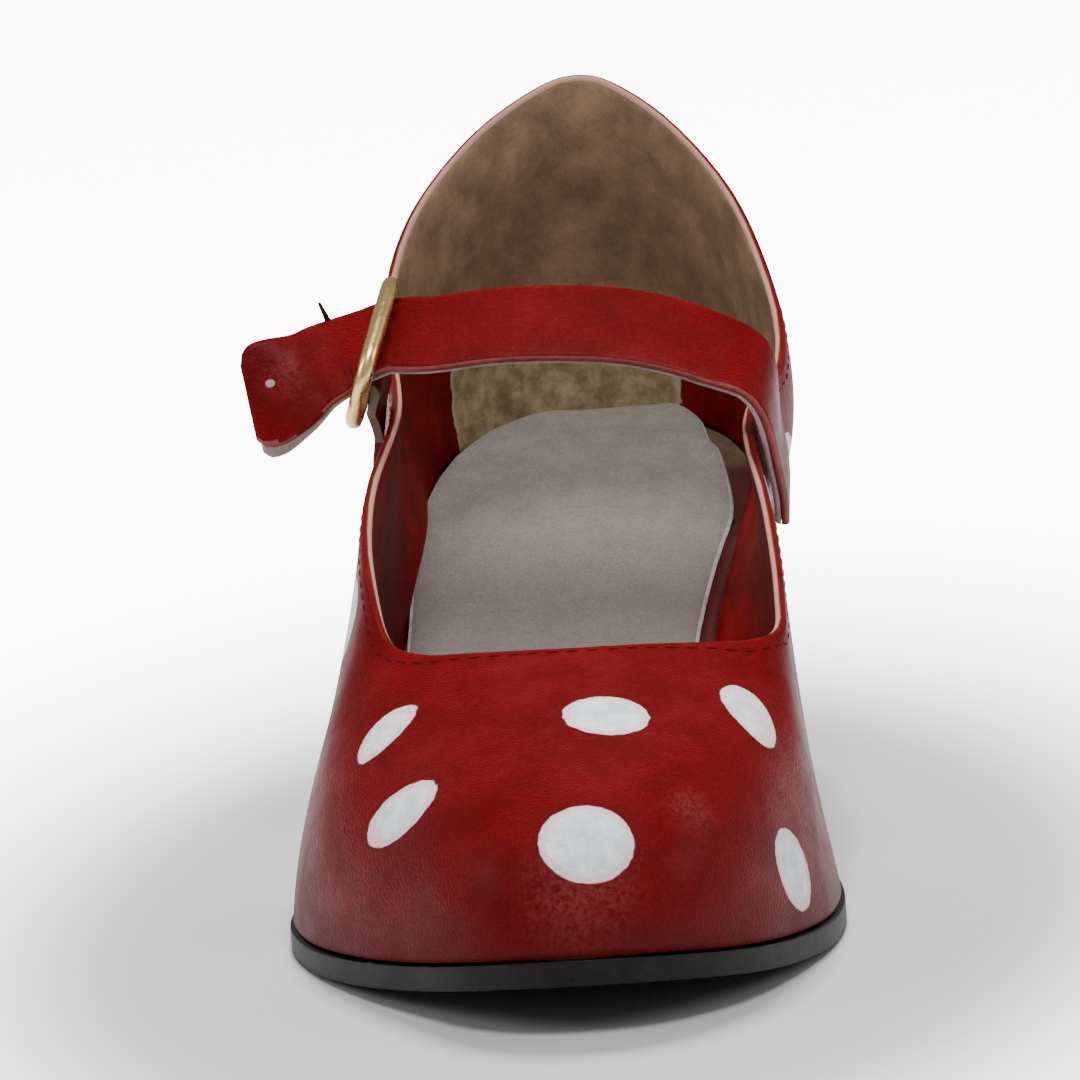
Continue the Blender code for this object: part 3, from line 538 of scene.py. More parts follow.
def lining_finish(name):
    """Smooth red lining in front and napped tan lining behind a seam."""
    inside = bpy.context.scene.pump_inside
    finish, tree, shader, place = new_finish(name, 0.6, 0.12)
    tones = mottled(tree, place, 140.0, scaled(inside.red, 0.5), inside.red)
    streaks = use_group(tree, "rub marks", place, Stretch=(700.0, 160.0, 160.0), Amount=0.5)
    front = mix_in(tree, tones["Color"], streaks["Mask"], (0.30, 0.022, 0.026))
    tan, nap = napped_colour(tree, place, inside.suede, 0.7)
    height = add_node(tree, "ShaderNodeSeparateXYZ", {0: place}).outputs["Z"]
    low = smooth_step(tree, height, 56.0 * MM, 50.0 * MM, 0.0, 0.75)
    olive = mottled(tree, place, 330.0, (0.20, 0.15, 0.075), (0.52, 0.42, 0.25))
    back = mix_in(tree, tan, low, olive["Color"])
    wobble = clouds(tree, place, 420.0, Detail=3.0)
    ragged = calc(tree, "MULTIPLY_ADD", wobble, 1.2, mesh_value(tree, "behind_seam"))
    mask = smooth_step(tree, ragged, 0.45, 0.75)
    colour = mix_in(tree, front, mask, back)
    torn = calc(tree, "MULTIPLY", smooth_step(tree, ragged, 1.5, 0.75), mask)
    colour = mix_in(tree, colour, calc(tree, "MULTIPLY", torn, 0.45), (0.62, 0.55, 0.44))
    tree.links.new(colour, shader.inputs["Base Color"])
    tree.links.new(smooth_step(tree, mask, 0.0, 1.0, 0.55, 0.92), shader.inputs["Roughness"])
    raise_surface(tree, shader, nap, 0.00008, 0.5)
    raise_surface(tree, shader, mask, 0.0003)
    return finish


def thread_finish(name, colour):
    """Twisted sewing thread."""
    finish, tree, shader, place = new_finish(name, 0.8, 0.1)
    twist = clouds(tree, place, 5200.0, Detail=2.0)
    tones = mottled(tree, place, 3000.0, scaled(colour, 0.55), colour)
    tree.links.new(tones["Color"], shader.inputs["Base Color"])
    raise_surface(tree, shader, twist, 0.00008, 0.6)
    return finish


def footbed_finish(name):
    """Tan board behind the pad that turns brownish red towards the toe."""
    inside = bpy.context.scene.pump_inside
    finish, tree, shader, place = new_finish(name, 0.9, 0.2)
    board = mottled(tree, place, 260.0, scaled(inside.board, 0.62), inside.board)
    slant = add_node(
        tree, "ShaderNodeVectorMath", {0: place, 1: (-0.55, 1.0, 0.0)}, operation="DOT_PRODUCT")
    ahead = smooth_step(tree, slant.outputs["Value"], -13.0 * MM, -20.0 * MM)
    colour = mix_in(tree, board["Color"], ahead, inside.board_ahead)
    nap = use_group(tree, "nap", place, Scale=1500.0)
    colour = mix_in(tree, colour, 0.6, nap["Shade"], "OVERLAY")
    tree.links.new(colour, shader.inputs["Base Color"])
    raise_surface(tree, shader, nap["Height"], 0.0002, 0.6)
    return finish


def pad_finish(name):
    """Grey sock pad, darker towards the toe, finely speckled."""
    inside = bpy.context.scene.pump_inside
    finish, tree, shader, place = new_finish(name, 0.75, 0.3)
    tones = mottled(tree, place, 240.0, scaled(inside.pad, 0.82), inside.pad)
    along = add_node(tree, "ShaderNodeSeparateXYZ", {0: place}).outputs["Y"]
    ahead = smooth_step(tree, along, 0.0, -46.0 * MM, 0.0, 0.8)
    colour = mix_in(tree, tones["Color"], ahead, inside.pad_ahead)
    weave = clouds(tree, place, 2600.0, Detail=3.0, Roughness=0.8)
    tree.links.new(mix_in(tree, colour, 0.5, weave, "OVERLAY"), shader.inputs["Base Color"])
    raise_surface(tree, shader, weave, 0.00008, 0.6)
    return finish


def sole_finish(name, amount, stretch):
    """Black sole with grey rub marks and a dull, dusty edge."""
    sole = bpy.context.scene.pump_sole
    finish, tree, shader, place = new_finish(name, 0.55, 0.2)
    tones = mottled(tree, place, 150.0, sole.black, scaled(sole.black, 2.1))
    marks = use_group(tree, "rub marks", place, Stretch=stretch, Amount=amount)["Mask"]
    colour = mix_in(tree, tones["Color"], marks, sole.scuff)
    dust = clouds(tree, place, 900.0, Detail=4.0, Roughness=0.75)
    colour = mix_in(tree, colour, smooth_step(tree, dust, 0.56, 0.8, 0.0, 0.5), sole.dust)
    tree.links.new(colour, shader.inputs["Base Color"])
    tree.links.new(smooth_step(tree, marks, 0.0, 1.0, 0.45, 0.75), shader.inputs["Roughness"])
    raise_surface(tree, shader, dust, 0.0001, 0.5)
    return finish


def gold_finish(name):
    """Bright gold-coloured metal with tiny pits."""
    buckle = bpy.context.scene.pump_buckle
    finish, tree, shader, place = new_finish(name, buckle.roughness)
    shader.inputs["Metallic"].default_value = 1.0
    tones = mottled(tree, place, 650.0, scaled(buckle.gold, 0.86), buckle.gold)
    tree.links.new(tones["Color"], shader.inputs["Base Color"])
    worn_and_sheen = smooth_step(tree, tones["Cloud"], 0.0, 1.0, buckle.roughness + 0.16, buckle.roughness)
    tree.links.new(worn_and_sheen, shader.inputs["Roughness"])
    raise_surface(tree, shader, clouds(tree, place, 1800.0, Detail=3.0), 0.00004, 0.4)
    return finish


def floor_finish(name, stage):
    """Pale floor that glows for the camera away from the shoe, and that isn't seen from below. Close round
    the shoe the glow fades out and the base colour darkens: a painted shadow."""
    finish, tree, shader, place = new_finish(name, 0.9, 0.0)
    shader.inputs["Emission Strength"].default_value = 1.0
    below = add_node(tree, "ShaderNodeNewGeometry").outputs["Backfacing"]
    tree.links.new(calc(tree, "SUBTRACT", 1.0, below), shader.inputs["Alpha"])
    flat = add_node(
        tree, "ShaderNodeVectorMath", {0: place, 1: (1.0, SHADOW_SHARE, 1.0)}, operation="MULTIPLY")
    middle = (0.0, SHADOW_MIDDLE * SHADOW_SHARE, 0.0)
    apart = add_node(
        tree, "ShaderNodeVectorMath", {0: flat.outputs[0], 1: middle}, operation="DISTANCE")
    apart = apart.outputs["Value"]
    # Painted shadow: close round the shoe the base colour darkens to 0.6 of the floor's.
    shaded = smooth_step(tree, apart, 0.09, 0.05)
    floor_with_painted_shadow = mix_in(tree, stage.floor, shaded, scaled(stage.floor, 0.6))
    tree.links.new(floor_with_painted_shadow, shader.inputs["Base Color"])
    # Glow that no lamp gives, faded out towards the shoe so that the painted shadow shows.
    away = smooth_step(tree, apart, 0.05, 0.14, 0.0, stage.glow)
    seen = add_node(tree, "ShaderNodeLightPath").outputs["Is Camera Ray"]
    tree.links.new(calc(tree, "MULTIPLY", away, seen), shader.inputs["Emission Color"])
    return finish


def copied_shape(node):
    """Copy of a CAD solid with its seams closed and its quads restored."""
    shape = bmesh.new()
    shape.from_mesh(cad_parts[node].data)
    bmesh.ops.remove_doubles(shape, verts=shape.verts, dist=0.00001)
    bmesh.ops.join_triangles(
        shape, faces=shape.faces,
        angle_face_threshold=math.radians(35.0), angle_shape_threshold=math.radians(60.0))
    return shape


def finished_piece(name, shape, finishes, node=None):
    """Object of a bmesh, riding with the shoe, which may stand for a CAD node."""
    mesh = bpy.data.meshes.new(name)
    shape.to_mesh(mesh)
    shape.free()
    piece = bpy.data.objects.new(name, mesh)
    bpy.context.scene.collection.objects.link(piece)
    for finish in finishes:
        mesh.materials.append(finish)
    for face in mesh.polygons:
        face.use_smooth = True
    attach(piece, "root")
    if node:
        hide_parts(node)
    return piece


def smoothed(piece, levels):
    """Subdivision Surface that is applied at once, with the modifiers before it."""
    fine = piece.modifiers.new("fine", "SUBSURF")
    fine.levels = levels
    fine.render_levels = levels
    bpy.context.view_layer.update()
    graph = bpy.context.evaluated_depsgraph_get()
    mesh = bpy.data.meshes.new_from_object(piece.evaluated_get(graph))
    old = piece.data
    piece.modifiers.clear()
    piece.data = mesh
    mesh.name = old.name
    bpy.data.meshes.remove(old)


def thickened(piece, thickness, rim=0):
    """Wall below a sheet, in millimetres, with the rim's own material slot."""
    wall = piece.modifiers.new("thick", "SOLIDIFY")
    wall.thickness = thickness * MM
    wall.offset = -1.0
    wall.material_offset_rim = rim


def sharp_by_angle(piece, degrees):
    piece.data.set_sharp_from_angle(angle=math.radians(degrees))


def parted_regions(shape, degrees):
    """Groups of faces that sharp edges part from each other, largest first."""
    limit = math.radians(degrees)
    left = set(shape.faces)
    groups = []
    while left:
        first = left.pop()
        group = [first]
        queue = [first]
        while queue:
            face = queue.pop()
            for edge in face.edges:
                if len(edge.link_faces) != 2 or edge.calc_face_angle(0.0) > limit:
                    continue
                for other in edge.link_faces:
                    if other in left:
                        left.discard(other)
                        group.append(other)
                        queue.append(other)
        groups.append(group)
    groups.sort(key=lambda group: -sum(face.calc_area() for face in group))
    return groups


def mean_height(group):
    return sum(face.calc_center_median().z for face in group) / len(group)


def loop_between(group, other):
    """Vertices on the border of two groups of faces, in order, and the vertex
    next to each of them inside the first group."""
    members = set(group)
    border = {}
    for face in group:
        for edge in face.edges:
            if any(link in other for link in edge.link_faces):
                a, b = edge.verts
                border.setdefault(a, []).append(b)
                border.setdefault(b, []).append(a)
    start = min(border, key=lambda vert: vert.index)
    order = [start]
    before = None
    here = start
    while True:
        ahead = [vert for vert in border[here] if vert is not before]
        if not ahead or ahead[0] is start or len(order) > len(border):
            break
        before, here = here, ahead[0]
        order.append(here)
    inward = []
    for vert in order:
        near = [edge.other_vert(vert) for edge in vert.link_edges
                if edge.other_vert(vert) not in border
                and any(face in members for face in edge.link_faces)]
        inward.append(near[0] if near else None)
    return order, inward


def tree_of(points):
    made = kdtree.KDTree(len(points))
    for index, point in enumerate(points):
        made.insert(point, index)
    made.balance()
    return made


def gaps_to_loop(mesh, points, steps=8):
    """Distance of each point of the mesh to a closed line, in millimetres."""
    filled = []
    for a, b in zip(points, points[1:] + points[:1]):
        filled += [a.lerp(b, k / steps) for k in range(steps)]
    near = tree_of(filled)
    return [near.find(vert.co)[2] / MM for vert in mesh.vertices]


def spread_dots(points, seen, bare, spacing):
    """Dots of the print: those given, then round ones at the places furthest
    from all the others and from the bare spots. Each is its centre, its long
    way and its two half diameters."""
    near = tree_of(points)
    dots = []
    for row in seen:
        centre = near.find(Vector(row[:3]) * MM)[0]
        dots.append((centre, Vector(row[3:6]).normalized(), row[6] * MM / 2.0, row[7] * MM / 2.0))
    taken = [dot[0] for dot in dots] + [Vector(spot) * MM for spot in bare]
    reach = [min((point - centre).length for centre in taken) for point in points]
    radius = bpy.context.scene.pump_dots.diameter / 2.0
    while True:
        furthest = max(range(len(points)), key=reach.__getitem__)
        if reach[furthest] < spacing:
            return dots
        centre = points[furthest]
        dots.append((centre, UP, radius, radius))
        reach = [min(old, (point - centre).length) for old, point in zip(reach, points)]


def from_edge(point, dot):
    """Distance outside the edge of an elliptical dot, in millimetres."""
    centre, way, long_half, short_half = dot
    apart = point - centre
    along = apart.dot(way)
    across = math.sqrt(max(0.0, apart.length_squared - along * along))
    return (math.hypot(along / long_half, across / short_half) - 1.0) * short_half / MM


def store(mesh, name, values):
    layer = mesh.attributes.new(name, "FLOAT", "POINT")
    layer.data.foreach_set("value", values)


def print_dots(mesh, points, seen, bare=(), plain=()):
    """Spread dots over the points and store how far each vertex is from the
    edge of the nearest dot, in millimetres. The plain vertices get no dot."""
    dots = spread_dots(points, seen, bare, bpy.context.scene.pump_dots.spacing)
    near = tree_of([dot[0] for dot in dots])
    values = []
    for vert in mesh.vertices:
        close = min(from_edge(vert.co, dots[index]) for _, index, _ in near.find_n(vert.co, 2))
        values.append(max(-PLAIN_REACH, min(PLAIN_REACH, close)))
    for index in plain:
        values[index] = PLAIN_REACH
    store(mesh, "from_dot", values)


def along_path(points, gap):
    """Places a fixed gap apart along a line of points, with their direction."""
    result = []
    left = gap / 2.0
    for a, b in zip(points, points[1:]):
        span = (b - a).length
        while left <= span and span > 0.0:
            result.append((a.lerp(b, left / span), (b - a).normalized()))
            left += gap
        left -= span
    return result


def topline_stitches(mesh, top_points, down):
    """Row of separate stitches under the topline, each a short rounded thread."""
    leather = [face.vertices for face in mesh.polygons if face.material_index == 0]
    surface = BVHTree.FromPolygons([vert.co for vert in mesh.vertices], leather)
    line = [surface.find_nearest(point + way * STITCH_DOWN * MM)[0]
            for point, way in zip(top_points, down)]
    line.append(line[0])
    scale = Matrix.Diagonal((STITCH_LONG / 2.0 * MM, STITCH_RADIUS * MM, STITCH_RADIUS * MM, 1.0))
    shape = bmesh.new()
    for point, run in along_path(line, STITCH_GAP * MM):
        spot, out = surface.find_nearest(point)[:2]
        run = (run - out * run.dot(out)).normalized()
        turn = Matrix((run, run.cross(out), out)).transposed().to_4x4()
        move = Matrix.Translation(spot - out * STITCH_SUNK * MM)
        made = bmesh.ops.create_uvsphere(shape, u_segments=8, v_segments=6, radius=1.0)
        bmesh.ops.transform(shape, matrix=move @ turn @ scale, verts=made["verts"])
    bmesh.ops.recalc_face_normals(shape, faces=shape.faces)
    thread = thread_finish("topline_thread", bpy.context.scene.pump_leather.thread)
    finished_piece("topline_stitches", shape, [thread])


def behind_seam(point):
    """Distance behind the front edge of the counter's napped lining, in
    millimetres. The edge is far back under the strap and slants forward above."""
    inner = max(0.0, min(1.0, (point.x / MM + 8.0) / 16.0))
    low = 2.5 + 8.0 * inner
    behind = point.y / MM - low + 5.0 * max(0.0, point.z / MM - 52.0 + 6.0 * inner)
    return max(-9.0, min(9.0, behind))


class PUMP_OT_upper(bpy.types.Operator):
    """Make the upper's leather shell with its dots, edges and linings"""
    bl_idname = "pump.upper"
    bl_label = "Upper"

    def execute(self, context):
        shape = copied_shape("upper")
        shape.verts.index_update()
        groups = parted_regions(shape, 52.0)
        outer = groups[0]
        lining = groups[1]
        rims = sorted(groups[2:], key=mean_height)
        sole_rim = set(rims[0])
        top_rim = set(rims[-1])
        for region, slot in ((lining, 1), (sole_rim, 1), (top_rim, 2)):
            for face in region:
                face.material_index = slot
        crease = shape.edges.layers.float.new("crease_edge")
        for rim, sharpness in ((sole_rim, 0.85), (top_rim, 0.3)):
            for edge in {edge for face in rim for edge in face.edges}:
                if any(face not in rim for face in edge.link_faces):
                    edge[crease] = sharpness
        top_line, below = loop_between(outer, top_rim)
        down = [(other.co - vert.co).normalized() if other else -UP
                for vert, other in zip(top_line, below)]
        lines = (top_line, loop_between(lining, top_rim)[0], loop_between(outer, sole_rim)[0])
        top_points, inner_points, foot_points = [[vert.co.copy() for vert in line] for line in lines]
        finishes = [
            red_leather("upper_leather", True, UPPER_WEAR_AND_SHEEN),
            lining_finish("upper_lining"),
            topline_finish("topline_edge"),
        ]
        piece = finished_piece("upper_shell", shape, finishes, "upper")
        smoothed(piece, 2)
        mesh = piece.data
        from_top = gaps_to_loop(mesh, top_points)
        over_sole = gaps_to_loop(mesh, foot_points)
        store(mesh, "from_lining", gaps_to_loop(mesh, inner_points))
        store(mesh, "behind_seam", [behind_seam(vert.co) for vert in mesh.vertices])
        store(mesh, "over_sole", over_sole)
        shown = set()
        for face in mesh.polygons:
            if face.material_index == 0:
                shown.update(face.vertices)
        free = [mesh.vertices[i].co.copy() for i in sorted(shown)
                if from_top[i] > 5.0 and over_sole[i] > 6.0]
        print_dots(mesh, free, SEEN_DOTS, BARE_SPOTS)
        topline_stitches(mesh, top_points, down)
        return {"FINISHED"}


class PUMP_OT_sole(bpy.types.Operator):
    """Make the sole with its breast flap and the top piece under the heel"""
    bl_idname = "pump.sole"
    bl_label = "Sole and top piece"

    def execute(self, context):
        black = sole_finish("sole_black", 1.6, (620.0, 120.0, 300.0))
        edge = sole_finish("sole_edge_black", 0.12, (160.0, 160.0, 900.0))
        shape = copied_shape("outsole")
        for face in shape.faces:
            if abs(face.normal.z) < 0.75 and face.calc_center_median().y < -30.0 * MM:
                face.material_index = 1
        sole = finished_piece("sole_leather", shape, [black, edge], "outsole")
        smoothed(sole, 1)
        sharp_by_angle(sole, 40.0)
        lift_black = sole_finish("top_piece_black", 0.5, (500.0, 500.0, 500.0))
        lift = finished_piece("top_piece", copied_shape("top_lift"), [lift_black], "top_lift")
        sharp_by_angle(lift, 30.0)
        return {"FINISHED"}


class PUMP_OT_heel(bpy.types.Operator):
    """Make the leather-covered heel block with its dots"""
    bl_idname = "pump.heel"
    bl_label = "Covered heel"

    def execute(self, context):
        leather = red_leather("heel_leather", True, HEEL_WEAR)
        piece = finished_piece("heel_cover", copied_shape("heel"), [leather], "heel")
        smoothed(piece, 2)
        sharp_by_angle(piece, 50.0)
        mesh = piece.data
        low = min(vert.co.z for vert in mesh.vertices)
        store(mesh, "over_sole", [(vert.co.z - low) / MM for vert in mesh.vertices])
        free = [vert.co.copy() for vert in mesh.vertices
                if vert.co.z > low + 4.0 * MM and vert.normal.y > -0.3 and abs(vert.normal.z) < 0.7]
        seat = [vert.index for vert in mesh.vertices if vert.normal.z > 0.5]
        print_dots(mesh, free, HEEL_DOTS, plain=seat)
        return {"FINISHED"}


def widen_to_wall(shape):
    """Push the board's rim out to the upper's inner wall, so that no gap shows."""
    upper = copied_shape("upper")
    wall = BVHTree.FromBMesh(upper)
    shape.normal_update()
    lift = 0.6 * MM * UP
    moves = []
    for vert in shape.verts:
        sides = [face.normal for face in vert.link_faces if abs(face.normal.z) < 0.6]
        if not sides:
            continue
        out = sum(sides, Vector())
        out.z = 0.0
        out.normalize()
        hit = wall.ray_cast(vert.co + lift - out * 2.0 * MM, out, 12.0 * MM)[0]
        if hit:
            moves.append((vert, hit + out * 1.3 * MM))
    for vert, place in moves:
        vert.co = Vector((place.x, place.y, vert.co.z))
    upper.free()


def seat_heights(seat, middle, rows):
    """Place along and height of the pad's top at each row. Past the ends of the
    seat the last slope goes on."""
    known = []
    for row in rows:
        along = row[0] * MM
        hit = seat.ray_cast(Vector((middle, along, 0.2)), -UP)[0]
        if hit:
            height = hit.z
        else:
            (y0, z0), (y1, z1) = known[-2:]
            height = z1 + (z1 - z0) / (y1 - y0) * (along - y1)
        known.append((along, height))
    return known


def extruded_row(shape, row, edges, ends):
    """Extrude a row of vertices; the new row and its edges in the same order."""
    made = bmesh.ops.extrude_edge_only(shape, edges=edges)
    fresh = {item for item in made["geom"] if isinstance(item, bmesh.types.BMVert)}
    row = [next(edge.other_vert(vert) for edge in vert.link_edges if edge.other_vert(vert) in fresh)
           for vert in row]
    return row, [shape.edges.get(pair) for pair in zip(row, row[1:] + row[:ends])]


def sheet(lines):
    """Sheet through lines of points that faces up, one line extruded from the other."""
    shape = bmesh.new()
    row = [shape.verts.new(point) for point in lines[0]]
    edges = [shape.edges.new(pair) for pair in zip(row, row[1:])]
    for line in lines[1:]:
        row, edges = extruded_row(shape, row, edges, 0)
        for vert, point in zip(row, line):
            vert.co = point
    shape.normal_update()
    bmesh.ops.reverse_faces(shape, faces=[face for face in shape.faces if face.normal.z < 0.0])
    return shape


def dark_strip_shape(seat, middle):
    """Narrow dark maroon strip that runs along the inner edge of the pad."""
    rows = [row for row in PAD_ROWS if -70.0 < row[0] < -20.0]
    lines = []
    for (along, height), (at, _, inner) in zip(seat_heights(seat, middle, rows), rows):
        wide = 2.3 if at < -24.0 else 0.8
        near = Vector(((inner + 0.15) * MM, along, height + 0.15 * MM))
        far = Vector(((inner + wide) * MM, along, height + 0.45 * MM))
        lines.append((near, near.lerp(far, 0.5), far))
    return sheet(lines)


def pad_shape(seat, middle):
    """Cloth from its rows, a little wavy, with edges that stand off the board."""
    lines = []
    for (along, height), (_, outer, inner) in zip(seat_heights(seat, middle, PAD_ROWS), PAD_ROWS):
        line = []
        for i in range(PAD_ACROSS + 1):
            t = i / PAD_ACROSS
            spot = Vector(((outer + (inner - outer) * t) * MM, along, height))
            spot.z += 0.25 * MM * noise.noise(spot * 110.0) + 0.25 * MM * abs(2.0 * t - 1.0) ** 6
            line.append(spot)
        lines.append(line)
    return sheet(lines)


class PUMP_OT_footbed(bpy.types.Operator):
    """Make the footbed board and the grey sock pad"""
    bl_idname = "pump.footbed"
    bl_label = "Footbed and sock pad"

    def execute(self, context):
        shape = copied_shape("insole")
        widen_to_wall(shape)
        board = finished_piece("footbed", shape, [footbed_finish("footbed_board")], "insole")
        smoothed(board, 1)
        sharp_by_angle(board, 50.0)
        low = copied_shape("sock_pad")
        seat = BVHTree.FromBMesh(low)
        middle = sum(vert.co.x for vert in low.verts) / len(low.verts)
        low.free()
        # The pad's rim is paler than its cloth: a painted highlight on the edge.
        finishes = [pad_finish("sock_pad_cloth"), cut_edge("sock_edge_highlight", (0.5, 0.46, 0.42))]
        pad = finished_piece("sock_cloth", pad_shape(seat, middle), finishes, "sock_pad")
        thickened(pad, PAD_THICK, 1)
        smoothed(pad, 1)
        sharp_by_angle(pad, 50.0)
        maroon = cut_edge("dark_strip_maroon", (0.075, 0.010, 0.010))
        thickened(finished_piece("side_dark_strip", dark_strip_shape(seat, middle), [maroon]), DARK_STRIP_THICK)
        return {"FINISHED"}


def path_value(lengths, values, at):
    """Smooth curve through the values at the lengths along a path."""
    spans = [b - a for a, b in zip(lengths, lengths[1:])]
    rates = [(b - a) / span for a, b, span in zip(values, values[1:], spans)]
    slopes = [rates[0]]
    for before, after, left, right in zip(rates, rates[1:], spans, spans[1:]):
        slopes.append((before * right + after * left) / (left + right))
    slopes.append(rates[-1])
    i = 0
    while i < len(lengths) - 2 and at > lengths[i + 1]:
        i += 1
    t = (at - lengths[i]) / spans[i]
    return ((1 + 2 * t) * (1 - t) ** 2 * values[i] + t * (1 - t) ** 2 * spans[i] * slopes[i]
            + t * t * (3 - 2 * t) * values[i + 1] + t * t * (t - 1) * spans[i] * slopes[i + 1])


def strap_stations():
    """Centre, direction, width direction, face normal and half width of the
    strap at even steps along it."""
    lengths = [0.0]
    for a, b in zip(STRAP, STRAP[1:]):
        lengths.append(lengths[-1] + (Vector(b[:3]) - Vector(a[:3])).length)

    def value(at, first, last):
        return [path_value(lengths, [row[k] for row in STRAP], at) for k in range(first, last)]

    stations = []
    step = 0.3
    for i in range(STRAP_STEPS + 1):
        at = lengths[-1] * (i / STRAP_STEPS)
        centre = Vector(value(at, 0, 3))
        ahead = Vector(value(min(lengths[-1], at + step), 0, 3))
        behind = Vector(value(max(0.0, at - step), 0, 3))
        run = (ahead - behind).normalized()
        wide = Vector(value(at, 3, 6))
        wide = (wide - run * wide.dot(run)).normalized()
        stations.append((centre * MM, run, wide, wide.cross(run), value(at, 6, 7)[0] * MM))
    return stations


def rounded_tip(stations):
    """The stations with their half widths drawn in at the free end."""
    tip = []
    for index, (centre, run, wide, face, half) in enumerate(stations):
        left = (STRAP_STEPS - index) / TIP_STEPS
        narrow = 1.0 if left >= 1.0 else 0.72 + 0.28 * math.sqrt(1.0 - (1.0 - left) ** 2)
        tip.append((centre, run, wide, face, half * narrow))
    return tip


def band(stations, section):
    """Closed band: a section swept along stations. Over the last ones the end is
    cut aslant, its lower corner further out."""
    shape = bmesh.new()
    centre, run, wide, face, half = stations[0]
    ring = [shape.verts.new(centre + wide * a * half + face * b * MM) for a, b in section]
    edges = [shape.edges.new(pair) for pair in zip(ring, ring[1:] + ring[:1])]
    shape.faces.new(ring)
    for index, (centre, run, wide, face, half) in enumerate(stations[1:], 1):
        late = max(0.0, (index - len(stations) + 1 + SKEWED_STEPS) / SKEWED_STEPS) ** 2
        ring, edges = extruded_row(shape, ring, edges, 1)
        for vert, (a, b) in zip(ring, section):
            vert.co = centre + (wide - run * 0.22 * late) * a * half + face * b * MM
    shape.faces.new(ring)
    bmesh.ops.recalc_face_normals(shape, faces=shape.faces)
    return shape


def strap_band(tip):
    """The strap's leather, with a cut edge along its lower side and its ends."""
    shape = band(tip, LEATHER_SECTION)
    for face in shape.faces:
        middle = face.calc_center_median()
        near = min(tip, key=lambda row: (row[0] - middle).length_squared)
        if len(face.verts) > 4 or (middle - near[0]).dot(near[2]) < -0.975 * near[4]:
            face.material_index = 1
    edge = cut_edge("strap_edge", (0.27, 0.035, 0.036))
    finishes = [red_leather("strap_leather", False, STRAP_WEAR), edge]
    finished_piece("strap_band", shape, finishes, "strap")


def strap_lining(tip):
    """The strap's lining, which slips out under the leather at the free end."""
    slipped = []
    for index, (centre, run, wide, face, half) in enumerate(tip):
        drop = max(0.0, (index - SLIP_FROM) / (STRAP_STEPS - SLIP_FROM)) ** 2 * LINING_SLIP * MM
        slipped.append((centre - wide * drop, run, wide, face, half))
    hide = suede("strap_lining_hide", bpy.context.scene.pump_inside.strap, 0.75)
    finished_piece("strap_lining", band(slipped, LINING_SECTION), [hide], None)


def strap_pinhole(stations):
    """Tuft of fluff in the one hole beside the free end."""
    eye = PINHOLE_AT * MM
    centre, _, wide, out, _ = min(stations, key=lambda row: (row[0] - eye).length)
    move = Matrix.Translation(centre + (wide + out) * 0.9 * MM)
    turn = UP.rotation_difference(out).to_matrix().to_4x4()
    flat = Matrix.Diagonal([half * MM for half in PINHOLE_HALVES]).to_4x4()
    shape = bmesh.new()
    bmesh.ops.create_uvsphere(shape, u_segments=16, v_segments=8, radius=1.0, matrix=move @ turn @ flat)
    finished_piece("strap_pinhole", shape, [cut_edge("pinhole_fluff", (0.62, 0.42, 0.40))])


def loose_thread(stations):
    """End of thread that stands up from the strap's upper edge."""
    centre, _, wide, out, half = min(stations, key=lambda row: abs(row[0].x - LOOSE_THREAD_X * MM))
    start = centre + wide * (half - 0.3 * MM) + out * 0.4 * MM
    way = LOOSE_THREAD_WAY.normalized()
    move = Matrix.Translation(start + way * 1.3 * MM)
    turn = UP.rotation_difference(way).to_matrix().to_4x4()
    shape = bmesh.new()
    bmesh.ops.create_cone(
        shape, cap_ends=True, segments=8, radius1=0.42 * MM, radius2=0.2 * MM, depth=2.9 * MM,
        matrix=move @ turn)
    finished_piece("loose_thread", shape, [thread_finish("dark_thread", (0.05, 0.008, 0.010))])


class PUMP_OT_strap(bpy.types.Operator):
    """Make the instep strap with its lining, pinhole and loose thread"""
    bl_idname = "pump.strap"
    bl_label = "Strap"

    def execute(self, context):
        stations = strap_stations()
        tip = rounded_tip(stations)
        strap_band(tip)
        strap_lining(tip)
        strap_pinhole(stations)
        loose_thread(stations)
        return {"FINISHED"}


class PUMP_OT_buckle(bpy.types.Operator):
    """Make the gold buckle, its prong and the chape that holds it"""
    bl_idname = "pump.buckle"
    bl_label = "Buckle and chape"

    def execute(self, context):
        gold = gold_finish("buckle_gold")
        wire = copied_shape("buckle_frame")
        wire.normal_update()
        for vert in wire.verts:
            vert.co += vert.normal * WIRE_FULLER * MM
        ring = finished_piece("buckle_ring", wire, [gold], "buckle_frame")
        sharp_by_angle(ring, 45.0)
        prong = copied_shape("buckle_prong")
        smoothed(finished_piece("buckle_tongue", prong, [gold], "buckle_prong"), 1)
        tab = copied_shape("chape")
        tab.normal_update()
        for face in tab.faces:
            if abs(face.normal.dot(BUCKLE_BAR)) > 0.75 and face.calc_center_median().z > 50.0 * MM:
                face.material_index = 1
        hide = [red_leather("chape_leather", False), cut_edge("chape_edge", (0.17, 0.105, 0.05))]
        chape = finished_piece("chape_tab", tab, hide, "chape")
        sharp_by_angle(chape, 45.0)
        return {"FINISHED"}


def soft_light(name, at, size, power, in_gloss):
    lamp = bpy.data.lights.new(name, "AREA")
    lamp.shape = "DISK"
    lamp.size = size
    lamp.energy = power
    holder = bpy.data.objects.new(name, lamp)
    holder.location = at
    holder.rotation_euler = (LIT_PLACE - Vector(at)).to_track_quat("-Z", "Y").to_euler()
    holder.visible_glossy = in_gloss
    bpy.context.scene.collection.objects.link(holder)


